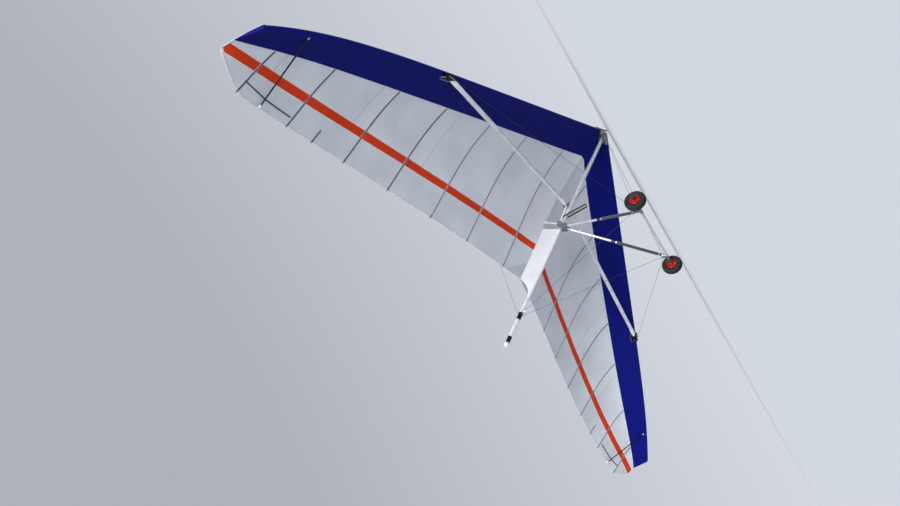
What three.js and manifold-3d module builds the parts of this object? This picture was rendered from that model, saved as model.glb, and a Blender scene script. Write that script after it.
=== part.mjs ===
// King-posted, single-surface training hang glider, parked nose down on its two wheels.
// Units are millimetres. The glider's own frame has its nose at the origin, +X towards the
// left wing, +Y aft along the keel and +Z up; the last group tips it nose down on the floor.

import * as THREE from 'three';
import { mergeVertices } from 'three/addons/utils/BufferGeometryUtils.js';
import Module from 'manifold-3d';

const wasm = await Module();
wasm.setup();

const { PI, abs, acos, atan, atan2, asin, cos, exp, hypot, max, min, sign, sin } = Math;

// Clearances
const SEAT_GAP = 0.3;
const BORE_GAP = 0.4;
const CLOTH_GAP = 0.8;

// Leading-edge tubes: the axis runs from the nose to the tip and bends aft near the tip
const HALF_SPAN = 5020;
const LEADING = { radius: 25, setback: 33, sweep: 0.552, dihedral: 0.012, from: 60, to: 4985 };
const TIP_BEND = { rise: 210, power: 8.5 };

// Trailing edge, from the keel to the tip
const TRAILING = {
  root: 2510, linear: 0.13, square: 16e-6, tipStart: 4600, tipRun: 500, tipDrop: 279,
};
const TRAILING_HEIGHT = { root: 250, tip: 310, billow: 1200 };
const TIP_FLARE = 80;

// Sailcloth sheets and how they arch
const CLOTH = 5;
const WRAP_GAP = 1.2;
const WRAP_END = 1.19 * PI;
const ARCH = { front: 0.55, rear: 0.17, rootLoss: 0.45, rootFade: 450 };
const SPAN_EASE = 1.5;
const NOSE_CUT = { start: 135, end: 0, fraction: 0.09 };
const CENTRE_GAP = 0.4;

// Coloured panels: the stripe along the trailing edge and the band behind the leading edge
const STRIPE = { root: 2000, linear: 0.175, square: 16e-6, width: 104, lastFraction: 0.965 };
const SEAM_GAP = 0.5;
const BAND = {
  width: 332, rootExtra: 112, tipLoss: 115, tipMargin: 0.03, keelSide: 34, rootGap: 3, rootFade: 150,
};

// Battens: ribs across the panels, with rod tips that stand out behind the trailing edge
const BATTENS = [400, 1140, 1800, 2530, 3220, 4040, 4680];
const BATTEN = {
  width: 14, proud: 2.5, startMargin: 0.014, seamMargin: 4, tipInside: 30, tipPast: 26, tipRadius: 5,
};

// Keel
const KEEL = { radius: 25, front: 0, back: 3440, tailCapEnd: 3480 };
const CLAMP = { y0: 2980, y1: 3080, radius: 29 };
const TAIL_BAND = { y0: 3330, y1: 3420, radius: 27 };
const NOSE_PLATE = { thickness: 4 };

// Crossbar, from its hinge over the keel to a bracket on each leading-edge tube
const BRACKET = { length: 150, depth: 59, height: 88, inward: 62, below: 22, clothGap: 8 };
const CROSSBAR = { radius: 27.5, hingeY: 1300, innerX: 20, junctionX: 3040, drop: 34, stopShort: 118 };

// Control frame: an apex block under the keel, two downtubes and a base bar
const APEX = { halfWidth: 46, halfLength: 42, below: 12, top: -6, socket: 13 };
const FRAME = { apexX: 30, apexY: 1640, apexZ: -84, cornerX: 500, cornerY: 1600, cornerZ: -1345 };
const DOWNTUBE = { radius: 15, topInset: 46, bottomInset: 62 };
const SLEEVE = { radius: 20, from: 110, to: 660 };
const BASEBAR = { radius: 15, halfLength: 775 };
const KNUCKLE = {
  radius: 19, inner: 466, outer: 659, stub: 14, tangRise: 70, tangOut: 18, tangHalf: 16,
};

// Wheels on the base bar
const WHEEL = { x: 700, tyreRadius: 130, tyreHalfWidth: 42.5, seatRadius: 62, hubHalfWidth: 36 };
const RIM = {
  barrel: 55, hub: 30, webHalf: 5, holes: 6, holeRadius: 9, holeCircle: 42.5, bore: 15 + BORE_GAP,
  ribInner: 28, ribOuter: 54.5, ribHalfWidth: 24, ribThickness: 5,
};
const PLUG = { innerX: 741, outerX: 800, radius: 21 };

// Kingpost
const KINGPOST = {
  radius: 16, y: 1600, baseHalf: 24, baseLength: 68, capRadius: 19, baseTop: 74, top: 1350,
  capTop: 1377,
};

// Wires and small tubes
const WIRE_RADIUS = 2;
const WIRE_HOLE = 7;
const STRUT = { radius: 8, x0: 4600, x1: 4410, aft: 3405 };

// Hang loop: a strap round the keel that hangs straight down as the glider is parked
const LOOP = { y: 1475, length: 300, high: 16, halfWidth: 25.5, strap: 4, halfDepth: 12.5 };

// Nose cone: it rides just above the sail
const CONE = { halfWidth: 235, round: 25, lift: 12, under: 1.1 * PI, rearFraction: 0.13, sideLoss: 0.55 };

const TUBE_SIDES = 16;
const KEEL_SIDES = 20;
const SPAN_COLUMNS = 20;
const WIRE_SIDES = 8;

// Colours
const COLOURS = {
  anodised: [0xb9bdc2, 0.35, 0.9],
  bracket: [0x8e9297, 0.4, 0.9],
  blackAlloy: [0x1c1d20, 0.45, 0.6],
  wire: [0x2a2c30, 0.45, 0.7],
  whiteCloth: [0xe6e7ea, 0.8, 0],
  orangeCloth: [0xd9481c, 0.8, 0],
  navyCloth: [0x0a1568, 0.8, 0],
  padding: [0x3c3e42, 0.9, 0],
  webbing: [0x1b1c20, 0.85, 0],
  rubber: [0x18191b, 0.85, 0],
  plug: [0x3a3a3c, 0.8, 0],
  redPlastic: [0xc61a14, 0.4, 0],
  whiteCap: [0xdcdcd8, 0.6, 0],
};

const V = (x, y, z) => new THREE.Vector3(x, y, z);
const lerp = THREE.MathUtils.lerp;
const MIRROR = [1, 0, 0];

// Solids and meshes

function toSolid(geometry) {
  const bare = geometry.clone();
  for (const name of ['normal', 'uv']) bare.deleteAttribute(name);
  const welded = mergeVertices(bare, 1e-3);
  return new wasm.Manifold(new wasm.Mesh({
    numProp: 3,
    vertProperties: Float32Array.from(welded.attributes.position.array),
    triVerts: Uint32Array.from(welded.index.array),
  }));
}

function toGeometry(solid) {
  const mesh = solid.getMesh();
  const geometry = new THREE.BufferGeometry();
  geometry.setAttribute('position', new THREE.BufferAttribute(mesh.vertProperties, 3));
  geometry.setIndex(new THREE.BufferAttribute(mesh.triVerts, 1));
  return geometry;
}

function join(...solids) {
  return solids.reduce((whole, next) => whole.add(next));
}

function cut(solid, ...tools) {
  return tools.reduce((rest, tool) => rest.subtract(tool), solid);
}

// A round bar between two points
function bar(from, to, radius, sides = TUBE_SIDES, endRadius = radius) {
  const along = to.clone().sub(from);
  const geometry = new THREE.CylinderGeometry(endRadius, radius, along.length(), sides);
  const turn = new THREE.Quaternion().setFromUnitVectors(V(0, 1, 0), along.clone().normalize());
  const middle = from.clone().add(to).multiplyScalar(0.5);
  return toSolid(geometry.applyQuaternion(turn).translate(middle.x, middle.y, middle.z));
}

// A round bar with a bore right through it
function sleeve(from, to, radius, bore, sides = TUBE_SIDES) {
  const along = to.clone().sub(from).normalize();
  return cut(bar(from, to, radius, sides),
    bar(from.clone().sub(along), to.clone().add(along), bore, sides));
}

function block(low, high) {
  const size = high.clone().sub(low);
  const middle = low.clone().add(high).multiplyScalar(0.5);
  return toSolid(new THREE.BoxGeometry(size.x, size.y, size.z)
    .translate(middle.x, middle.y, middle.z));
}

// A flat plate: an outline in X and Y, extruded upwards from z
function plate(outline, z, thickness) {
  const shape = new THREE.Shape(outline.map(([x, y]) => new THREE.Vector2(x, y)));
  return toSolid(new THREE.ExtrudeGeometry(shape, { depth: thickness, bevelEnabled: false })
    .translate(0, 0, z));
}

// A profile of [radius, distance] pairs turned about the base bar's axis, outwards from x
function turned(profile, x, segments) {
  const points = profile.map(([radius, distance]) => new THREE.Vector2(radius, distance));
  return toSolid(new THREE.LatheGeometry(points, segments)
    .rotateZ(-PI / 2).translate(x, FRAME.cornerY, FRAME.cornerZ));
}

// A closed sheet of even thickness about the surface at(u, v), with u and v from 0 to 1
function sheet(at, columns, rows, thickness) {
  const geometry = new THREE.BoxGeometry(1, 1, 1, columns, rows, 1);
  const place = geometry.attributes.position;
  const step = 1e-4;
  for (let i = 0; i < place.count; i++) {
    const u = place.getX(i) + 0.5;
    const v = place.getY(i) + 0.5;
    const du = at(min(u + step, 1), v).sub(at(max(u - step, 0), v));
    const dv = at(u, min(v + step, 1)).sub(at(u, max(v - step, 0)));
    const normal = du.cross(dv).normalize();
    const point = at(u, v).addScaledVector(normal, place.getZ(i) * thickness);
    place.setXYZ(i, point.x, point.y, point.z);
  }
  return toSolid(geometry);
}

// Wing lines, as functions of the distance x out from the keel

const axisY = (x) => LEADING.setback + LEADING.sweep * x
  + TIP_BEND.rise * (x / HALF_SPAN) ** TIP_BEND.power;
const axisSlope = (x) => LEADING.sweep
  + TIP_BEND.rise * TIP_BEND.power / HALF_SPAN * (x / HALF_SPAN) ** (TIP_BEND.power - 1);
const axisZ = (x) => LEADING.dihedral * x;
const axisPoint = (x) => V(x, axisY(x), axisZ(x));
const stripeY = (x) => STRIPE.root + STRIPE.linear * x + STRIPE.square * x * x;
const spread = (u) => 1 - (1 - u) ** SPAN_EASE;

function trailingY(x) {
  const drop = TRAILING.tipDrop * (max(0, x - TRAILING.tipStart) / TRAILING.tipRun) ** 1.5;
  return TRAILING.root + TRAILING.linear * x + TRAILING.square * x * x - drop;
}

function trailingZ(x) {
  const part = x / HALF_SPAN;
  return lerp(TRAILING_HEIGHT.root, TRAILING_HEIGHT.tip, part)
    + TRAILING_HEIGHT.billow * part ** 1.5 * (1 - part);
}

// One chordwise section: it wraps the tube on an ellipse, leaves it on a tangent and arches aft
function section(x, lift = 0) {
  const radius = LEADING.radius + WRAP_GAP + CLOTH / 2 + lift;
  const run = radius * hypot(1, axisSlope(x));
  const endX = x + TIP_FLARE * (x / HALF_SPAN) ** 12;
  const end = V(endX, trailingY(endX), trailingZ(x) + lift);
  const fullness = 1 - ARCH.rootLoss * exp(-x / ARCH.rootFade);
  const slope = (end.z - axisZ(x)) / (end.y - axisY(x)) + ARCH.front * fullness;
  const leave = PI / 2 + atan(slope * run / radius);
  const start = V(x, axisY(x) + run * cos(leave), axisZ(x) + radius * sin(leave));
  return { radius, run, leave, start, end, fullness, chord: end.y - start.y };
}

// A point of the sail: t runs from -1 under the leading edge, through 0, to 1 at the trailing edge
function sailPoint(x, t, lift = 0) {
  const cross = section(x, lift);
  if (t < 0) {
    const angle = lerp(cross.leave, WRAP_END, -t);
    return V(x, axisY(x) + cross.run * cos(angle), axisZ(x) + cross.radius * sin(angle));
  }
  const arch = cross.chord * cross.fullness
    * (ARCH.front * t * (1 - t) ** 2 + ARCH.rear * t * t * (1 - t));
  const point = cross.start.clone().lerp(cross.end, t);
  point.z += arch;
  return point;
}

const fractionAt = (x, y) => {
  const cross = section(x);
  return (y - cross.start.y) / cross.chord;
};
const sailHeight = (x, y) => sailPoint(x, fractionAt(x, y)).z;

// The span position at column u, set in from the keel so that the nose plates stay clear
function spanAt(u, t) {
  const near = THREE.MathUtils.smoothstep(t, 0, NOSE_CUT.fraction);
  const inner = lerp(NOSE_CUT.start, NOSE_CUT.end, near);
  return lerp(inner, HALF_SPAN, spread(u));
}

// Chord fractions of the stripe's two edges
function stripeEdges(x) {
  const { chord } = section(x);
  const middle = fractionAt(x, stripeY(x));
  const half = STRIPE.width / 2 / chord;
  const rear = min(middle + half, STRIPE.lastFraction);
  return [middle - half, rear];
}

// Chord fraction of the band's rear edge
function bandEdge(x) {
  const part = x / HALF_SPAN;
  const width = BAND.width + BAND.rootExtra * (1 - part) ** 2 - BAND.tipLoss * part ** 6;
  return min(width / section(x).chord, stripeEdges(x)[0] - BAND.tipMargin);
}

// A batten's rib on one panel, standing proud above and below the cloth
function battenRib(x, front, rear, rows) {
  return sheet((u, v) => sailPoint(x + (u - 0.5) * BATTEN.width, lerp(front, rear, v)),
    1, rows, CLOTH + 2 * BATTEN.proud);
}

const seamFraction = (x) => BATTEN.seamMargin / section(x).chord;

// Chord fractions between which the stripe and the trailing panel lie at x
const stripeSpan = (x) => stripeEdges(x);
const trailingSpan = (x) => [stripeEdges(x)[1], 1];

// A panel with its seams held off its neighbours, and a rib for each batten
function sailPanel(edges, rows, ribRows) {
  const cloth = sheet((u, v) => {
    const rough = spanAt(u, 0.5);
    const seam = SEAM_GAP / 2 / section(rough).chord;
    const [first, last] = edges(rough);
    return sailPoint(rough, lerp(first + seam, last < 1 ? last - seam : 1, v));
  }, SPAN_COLUMNS, rows, CLOTH);
  return join(cloth, ...BATTENS.map((x) => {
    const [first, last] = edges(x);
    return battenRib(x, first + seamFraction(x), last - seamFraction(x), ribRows);
  }));
}

// The rod tips of the battens, which are fixed in the trailing panel
function battenTips() {
  return BATTENS.map((x) => {
    const end = sailPoint(x, 1);
    const aft = end.clone().sub(sailPoint(x, 0.99)).normalize();
    return bar(end.clone().addScaledVector(aft, -BATTEN.tipInside),
      end.clone().addScaledVector(aft, BATTEN.tipPast), BATTEN.tipRadius, 8);
  });
}

// The main panel: four rows wrap the tube, three reach the band's rear edge, five the stripe
function mainPanel() {
  const [wrapRows, bandRows, rows] = [4, 3, 12];
  const cloth = sheet((u, v) => {
    const row = v * rows;
    if (row < wrapRows) return sailPoint(spanAt(u, 0), row / wrapRows - 1);
    const rough = spanAt(u, 0.5);
    const middle = bandEdge(rough);
    const last = stripeEdges(rough)[0] - SEAM_GAP / 2 / section(rough).chord;
    const past = row - wrapRows;
    const t = past < bandRows ? middle * past / bandRows
      : lerp(middle, last, (past - bandRows) / (rows - wrapRows - bandRows));
    return sailPoint(spanAt(u, t), t);
  }, SPAN_COLUMNS, rows, CLOTH);
  return join(cloth, ...BATTENS.map((x) => battenRib(x, bandEdge(x) + BATTEN.startMargin,
    stripeEdges(x)[0] - seamFraction(x), 5)));
}

// The band below the leading edge: round under the tube, then straight to the sail's underside
function bandPoint(u, v) {
  const wrapShare = 0.5;
  const outer = spanAt(u, 0);
  const inner = lerp(BAND.keelSide, HALF_SPAN, spread(u));
  const straight = max(0, (v - wrapShare) / (1 - wrapShare));
  const x = lerp(outer, inner, min(1, straight * 2));
  const cross = section(x);
  const t = bandEdge(x);
  const rear = sailPoint(x, t);
  const ahead = sailPoint(x, t - 0.01);
  const normal = V(0, rear.y - ahead.y, rear.z - ahead.z).normalize();
  const offset = CLOTH + CLOTH_GAP + BAND.rootGap * exp(-x / BAND.rootFade);
  const edge = V(rear.x, rear.y + normal.z * offset, rear.z - normal.y * offset);
  const reachY = (edge.y - axisY(x) - axisSlope(x) * (edge.x - x)) / cross.run;
  const reachZ = (edge.z - axisZ(x)) / cross.radius;
  const first = WRAP_END + 0.25;
  const last = 2 * PI + atan2(reachZ, reachY) - acos(1 / hypot(reachY, reachZ));
  const angle = lerp(first, last, min(1, v / wrapShare));
  const round = V(x, axisY(x) + cross.run * cos(angle), axisZ(x) + cross.radius * sin(angle));
  return round.lerp(edge, straight);
}

// Where things meet

const lowPlateZ = -KEEL.radius - 0.8;
const highPlateZ = LEADING.radius + 1.9;
const hingeZ = KEEL.radius + SEAT_GAP + NOSE_PLATE.thickness + 1.5 + CROSSBAR.radius;
const corner = V(FRAME.cornerX, FRAME.cornerY, FRAME.cornerZ);
const apex = V(FRAME.apexX, FRAME.apexY, FRAME.apexZ);
const downLength = corner.distanceTo(apex);
const downAt = (distance) => apex.clone().lerp(corner, distance / downLength);
const upAt = (distance) => downAt(downLength - distance);
const junction = axisPoint(CROSSBAR.junctionX);
const kingTop = V(0, KINGPOST.y, KINGPOST.top);

const crossbarInner = V(CROSSBAR.innerX, CROSSBAR.hingeY, hingeZ);
const crossbarTarget = junction.clone().add(V(0, 0, -CROSSBAR.drop));
const crossbarAlong = crossbarTarget.clone().sub(crossbarInner).normalize();
const crossbarAt = (pastEnd) => crossbarTarget.clone()
  .addScaledVector(crossbarAlong, pastEnd - CROSSBAR.stopShort);

// A tube that follows the leading edge, with rings across it at the sail's own stations
function leadingTube(radius, x0, x1) {
  const geometry = new THREE.CylinderGeometry(1, 1, 1, TUBE_SIDES, SPAN_COLUMNS);
  const place = geometry.attributes.position;
  for (let i = 0; i < place.count; i++) {
    const station = spanAt(place.getY(i) + 0.5, 0);
    const x = place.getY(i) < -0.49 ? x0 : min(station, x1);
    const aft = V(-axisSlope(x), 1, 0).normalize().multiplyScalar(place.getX(i) * radius);
    const point = axisPoint(x).add(aft);
    place.setXYZ(i, point.x, point.y, point.z - place.getZ(i) * radius);
  }
  return toSolid(geometry);
}

// The block that carries the crossbar's end under the leading-edge tube
function crossbarBracket(grow = 0) {
  const size = V(BRACKET.length, BRACKET.depth, BRACKET.height).addScalar(2 * grow);
  const geometry = new THREE.BoxGeometry(size.x, size.y, size.z)
    .translate(-BRACKET.inward, BRACKET.depth / 2, -BRACKET.below);
  return toSolid(geometry.rotateZ(atan(axisSlope(CROSSBAR.junctionX)))
    .translate(junction.x, junction.y, junction.z));
}

const parts = [];

function add(name, colour, solid) {
  parts.push([name, colour, solid]);
}

// A piece of the left side and its mirror image on the right
function addPair(name, colour, solid) {
  add(name + '_L', colour, solid);
  add(name + '_R', colour, solid.mirror(MIRROR));
}

// Keel and nose

const keelFront = V(0, KEEL.front, 0);
const keelBack = V(0, KEEL.back, 0);
const keelBore = bar(V(0, -200, 0), V(0, 4000, 0), KEEL.radius + SEAT_GAP, KEEL_SIDES);
const noseOutline = [[20, 46], [118, 92], [124, 120], [30, 178]];
const noseShape = [...noseOutline, ...noseOutline.map(([x, y]) => [-x, y]).reverse()];

function noseCap() {
  const profile = [V(0, 0, 0)];
  for (let i = 0; i <= 6; i++) {
    const angle = PI / 2 * i / 6;
    profile.push(V(KEEL.radius * cos(angle), KEEL.radius * sin(angle), 0));
  }
  return toSolid(new THREE.LatheGeometry(profile, 24).rotateX(PI)
    .translate(0, KEEL.front - SEAT_GAP, 0));
}

add('keel_tube', 'anodised', bar(keelFront, keelBack, KEEL.radius, KEEL_SIDES));
add('keel_nose_cap', 'rubber', noseCap());
add('keel_tail_cap', 'whiteCap', bar(V(0, KEEL.back + SEAT_GAP, 0),
  V(0, KEEL.tailCapEnd, 0), TAIL_BAND.radius, KEEL_SIDES));
add('rear_wire_clamp', 'blackAlloy',
  cut(bar(V(0, CLAMP.y0, 0), V(0, CLAMP.y1, 0), CLAMP.radius, KEEL_SIDES), keelBore));
add('keel_tail_band', 'blackAlloy',
  cut(bar(V(0, TAIL_BAND.y0, 0), V(0, TAIL_BAND.y1, 0), TAIL_BAND.radius, KEEL_SIDES), keelBore));
add('nose_plate_upper', 'bracket', plate(noseShape, highPlateZ, NOSE_PLATE.thickness));
add('nose_plate_lower', 'bracket',
  plate(noseShape, lowPlateZ - NOSE_PLATE.thickness, NOSE_PLATE.thickness));

// Crossbar and its hinge over the keel

const HINGE = { halfWidth: 62, halfLength: 32, pin: 8 };
const hinge = (z) => block(V(-HINGE.halfWidth, CROSSBAR.hingeY - HINGE.halfLength, z),
  V(HINGE.halfWidth, CROSSBAR.hingeY + HINGE.halfLength, z + NOSE_PLATE.thickness));
const hingeLow = KEEL.radius + SEAT_GAP;
const hingeHigh = 2 * hingeZ - hingeLow - NOSE_PLATE.thickness;
add('crossbar_hinge', 'bracket', join(hinge(hingeLow), hinge(hingeHigh),
  bar(V(0, CROSSBAR.hingeY, hingeLow + 1), V(0, CROSSBAR.hingeY, hingeHigh + 1),
    HINGE.pin)));

// Control frame

const apexSocket = bar(apex, downAt(DOWNTUBE.topInset - SEAT_GAP), APEX.socket);
const apexBlock = join(
  block(V(-APEX.halfWidth, FRAME.apexY - APEX.halfLength, FRAME.apexZ - APEX.below),
    V(APEX.halfWidth, FRAME.apexY + APEX.halfLength, APEX.top)),
  apexSocket, apexSocket.mirror(MIRROR),
);
add('apex_bracket', 'bracket', cut(apexBlock, keelBore));
add('basebar', 'anodised', bar(V(-BASEBAR.halfLength, FRAME.cornerY, FRAME.cornerZ),
  V(BASEBAR.halfLength, FRAME.cornerY, FRAME.cornerZ), BASEBAR.radius));

const barPoint = (x) => V(x, FRAME.cornerY, FRAME.cornerZ);

function knuckle(grow = 0) {
  const tangX = FRAME.cornerX + KNUCKLE.tangOut;
  return join(
    bar(barPoint(KNUCKLE.inner - grow), barPoint(KNUCKLE.outer + grow), KNUCKLE.radius + grow),
    bar(corner, upAt(DOWNTUBE.bottomInset - SEAT_GAP), KNUCKLE.stub + grow),
    block(V(tangX - 5 - grow, FRAME.cornerY - KNUCKLE.tangHalf - grow, FRAME.cornerZ),
      V(tangX + 5 + grow, FRAME.cornerY + KNUCKLE.tangHalf + grow,
        FRAME.cornerZ + KNUCKLE.tangRise + grow)),
  );
}

// Kingpost

const kingBase = block(V(-KINGPOST.baseHalf, KINGPOST.y - KINGPOST.baseLength / 2, 4),
  V(KINGPOST.baseHalf, KINGPOST.y + KINGPOST.baseLength / 2, KINGPOST.baseTop));
add('kingpost_base', 'bracket', cut(kingBase, keelBore));
add('kingpost', 'anodised', bar(V(0, KINGPOST.y, KINGPOST.baseTop + SEAT_GAP), kingTop,
  KINGPOST.radius));
const kingCap = (grow = 0) => bar(V(0, KINGPOST.y, KINGPOST.top + SEAT_GAP - grow),
  V(0, KINGPOST.y, KINGPOST.capTop + grow), KINGPOST.capRadius + grow);
add('kingpost_cap', 'blackAlloy', kingCap());

// Wires: each one is cut off where it meets what holds it

function wire(from, to, ...holders) {
  return cut(bar(from, to, WIRE_RADIUS, WIRE_SIDES), ...holders);
}

const capPoint = V(0, KINGPOST.y, KINGPOST.capTop - 6);
const clampHolder = bar(V(0, CLAMP.y0 - 1, 0), V(0, CLAMP.y1 + 1, 0),
  CLAMP.radius + SEAT_GAP, KEEL_SIDES);
const plateHolder = (z0, z1) => plate([[-60, 50], [60, 50], [60, 130], [-60, 130]], z0, z1 - z0);
const lowPlate = plateHolder(lowPlateZ - NOSE_PLATE.thickness - SEAT_GAP, 10);
const highPlate = plateHolder(-10, highPlateZ + NOSE_PLATE.thickness + SEAT_GAP);
const noseWireEnd = V(0, 92, 24);
add('upper_wire_front', 'wire', wire(noseWireEnd, capPoint, highPlate, kingCap(SEAT_GAP)));
add('upper_wire_rear', 'wire', wire(V(0, CLAMP.y0 + 40, 20), capPoint, clampHolder,
  kingCap(SEAT_GAP)));

const upperSideEnd = junction.clone().add(V(0, 0, LEADING.radius - 6));
const lowerSideEnd = junction.clone().add(V(-40, 6, -54));
const tang = corner.clone().add(V(KNUCKLE.tangOut, 0, KNUCKLE.tangRise - 10));

// Hang loop, in a plane that stands upright on the floor

function hangLoop() {
  const outline = new THREE.Shape();
  const inner = new THREE.Path();
  const ring = (path, wide, high, low) => {
    path.absellipse(0, high, wide, wide * 1.6, 0, PI, false);
    path.absellipse(0, low, wide, wide * 0.6, PI, 2 * PI, false);
    path.closePath();
  };
  ring(outline, LOOP.halfWidth + LOOP.strap, LOOP.high, -LOOP.length);
  ring(inner, LOOP.halfWidth, LOOP.high, -LOOP.length);
  outline.holes.push(inner);
  const depth = 2 * LOOP.halfDepth;
  const geometry = new THREE.ExtrudeGeometry(outline,
    { depth, bevelEnabled: false, curveSegments: 10 });
  return toSolid(geometry.translate(0, 0, -LOOP.halfDepth).rotateX(PI / 2));
}

// Parked attitude: the nose cap and both tyres touch the floor

const wheelDown = atan2(-FRAME.cornerZ, FRAME.cornerY - KEEL.front);
const wheelReach = hypot(FRAME.cornerZ, FRAME.cornerY - KEEL.front);
const pitch = wheelDown + asin((WHEEL.tyreRadius - KEEL.radius) / wheelReach);

// Wheel and bar-end profiles

const RIM_PROFILE = [
  [RIM.bore, -WHEEL.hubHalfWidth], [RIM.hub - 4, -WHEEL.hubHalfWidth], [RIM.hub, -30],
  [RIM.hub, -RIM.webHalf], [RIM.barrel - 2, -RIM.webHalf], [RIM.barrel, -31],
  [WHEEL.seatRadius - SEAT_GAP, -31], [WHEEL.seatRadius - SEAT_GAP, 31], [RIM.barrel, 31],
  [RIM.barrel - 2, RIM.webHalf], [RIM.hub, RIM.webHalf], [RIM.hub, 30],
  [RIM.hub - 4, WHEEL.hubHalfWidth], [RIM.bore, WHEEL.hubHalfWidth],
  [RIM.bore, -WHEEL.hubHalfWidth],
];

// The tread: five grooves round a crown that drops by crownDrop at the shoulders
const TREAD = { grooves: [-22, -11, 0, 11, 22], halfGroove: 1.8, depth: 3, crownDrop: 5, halfCrown: 30 };
const crown = (x) => WHEEL.tyreRadius - TREAD.crownDrop * (x / TREAD.halfCrown) ** 2;
const groove = (x) => [[crown(x - TREAD.halfGroove), x - TREAD.halfGroove],
  [crown(x) - TREAD.depth, x], [crown(x + TREAD.halfGroove), x + TREAD.halfGroove]];
const TYRE_PROFILE = [
  [WHEEL.seatRadius, -28], [WHEEL.seatRadius + 10, -31], [88, -41], [104, -42.5], [117, -39],
  [crown(-TREAD.halfCrown), -TREAD.halfCrown], ...TREAD.grooves.flatMap(groove),
  [crown(TREAD.halfCrown), TREAD.halfCrown], [117, 39], [104, 42.5], [88, 41],
  [WHEEL.seatRadius + 10, 31], [WHEEL.seatRadius, 28], [WHEEL.seatRadius, -28],
];

const PLUG_PROFILE = [
  [0, BASEBAR.halfLength + SEAT_GAP], [BASEBAR.radius + SEAT_GAP, BASEBAR.halfLength + SEAT_GAP],
  [BASEBAR.radius + SEAT_GAP, PLUG.innerX], [PLUG.radius + 2, PLUG.innerX],
  [PLUG.radius + 2, PLUG.innerX + 3], [PLUG.radius, PLUG.innerX + 3],
  [PLUG.radius, PLUG.outerX - 4], [PLUG.radius - 4, PLUG.outerX], [0, PLUG.outerX],
];

// A rib of the rim's web, from the hub out to the barrel
function rimRib(angle) {
  const length = RIM.ribOuter - RIM.ribInner;
  return toSolid(new THREE.BoxGeometry(2 * RIM.ribHalfWidth, length, RIM.ribThickness)
    .translate(0, RIM.ribInner + length / 2, 0).rotateX(angle)
    .translate(WHEEL.x, FRAME.cornerY, FRAME.cornerZ));
}

function wheelRim() {
  const holes = [];
  const ribs = [];
  for (let i = 0; i < RIM.holes; i++) {
    const angle = 2 * PI * i / RIM.holes;
    const y = FRAME.cornerY + RIM.holeCircle * cos(angle);
    const z = FRAME.cornerZ + RIM.holeCircle * sin(angle);
    holes.push(bar(V(WHEEL.x - 40, y, z), V(WHEEL.x + 40, y, z), RIM.holeRadius, 10));
    ribs.push(rimRib(angle + PI / RIM.holes));
  }
  return join(cut(turned(RIM_PROFILE, WHEEL.x, 32), ...holes), ...ribs);
}

function strut(radius) {
  const from = axisPoint(STRUT.x0).add(V(0, 0, -6));
  const top = sailHeight(STRUT.x1, STRUT.aft) - CLOTH / 2 - STRUT.radius - 3;
  return bar(from, V(STRUT.x1, STRUT.aft, top), radius, 12);
}

const tubeBore = leadingTube(LEADING.radius + SEAT_GAP, LEADING.from - 30, LEADING.to + 30);
const crossbarBore = bar(crossbarInner, crossbarAt(0.6), CROSSBAR.radius + SEAT_GAP);

addPair('leading_edge', 'anodised', leadingTube(LEADING.radius, LEADING.from, LEADING.to));
addPair('crossbar', 'anodised', bar(crossbarInner, crossbarAt(0), CROSSBAR.radius));
addPair('crossbar_bracket', 'blackAlloy', cut(crossbarBracket(), tubeBore, crossbarBore));
addPair('downtube', 'anodised',
  bar(downAt(DOWNTUBE.topInset), upAt(DOWNTUBE.bottomInset), DOWNTUBE.radius));
addPair('downtube_sleeve', 'padding',
  sleeve(upAt(SLEEVE.from), upAt(SLEEVE.to), SLEEVE.radius, DOWNTUBE.radius + SEAT_GAP));
addPair('corner_bracket', 'bracket', cut(knuckle(),
  bar(barPoint(400), barPoint(WHEEL.x), BASEBAR.radius + SEAT_GAP)));
addPair('bar_end_plug', 'plug', turned(PLUG_PROFILE, 0, 20));
addPair('tyre', 'rubber', turned(TYRE_PROFILE, WHEEL.x, 40));
addPair('rim', 'redPlastic', wheelRim());
addPair('lower_wire_front', 'wire',
  wire(tang, V(22, 90, -20), knuckle(SEAT_GAP), lowPlate));
addPair('lower_wire_rear', 'wire',
  wire(tang, V(15, CLAMP.y0 + 30, -12), knuckle(SEAT_GAP), clampHolder));
addPair('lower_wire_side', 'wire',
  wire(tang, lowerSideEnd, knuckle(SEAT_GAP), crossbarBracket(SEAT_GAP)));
addPair('upper_wire_side', 'wire', wire(upperSideEnd, capPoint, tubeBore, kingCap(SEAT_GAP)));

const wireSlot = bar(upperSideEnd, capPoint, WIRE_HOLE, 10);
const kingHole = bar(V(0, KINGPOST.y, 0), V(0, KINGPOST.y, 800), KINGPOST.radius + 4);
const otherSide = block(V(-200, -100, -100), V(CENTRE_GAP, 4000, 1000));
addPair('sail_main', 'whiteCloth', cut(mainPanel(), wireSlot, kingHole, otherSide));
addPair('sail_stripe', 'orangeCloth', cut(sailPanel(stripeSpan, 1, 1), otherSide));
addPair('sail_trailing', 'whiteCloth',
  cut(join(sailPanel(trailingSpan, 2, 2), ...battenTips()), otherSide));
const crossbarSlot = bar(crossbarAt(-260), crossbarAt(80), CROSSBAR.radius + 14);
addPair('sail_band', 'navyCloth', cut(sheet(bandPoint, SPAN_COLUMNS, 7, CLOTH),
  crossbarBracket(BRACKET.clothGap), crossbarSlot, strut(STRUT.radius + 2)));
addPair('washout_strut', 'blackAlloy', cut(strut(STRUT.radius), tubeBore));

// Keel pocket: cloth that hangs from the sail's middle seam and goes round the keel

const POCKET = {
  front: 1700, topRear: 2505, lowRear: 2760, cloth: 3, topHalf: 2.4, gap: 1.6, seamGap: 0.9,
  wrapShare: 0.5,
};

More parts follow.
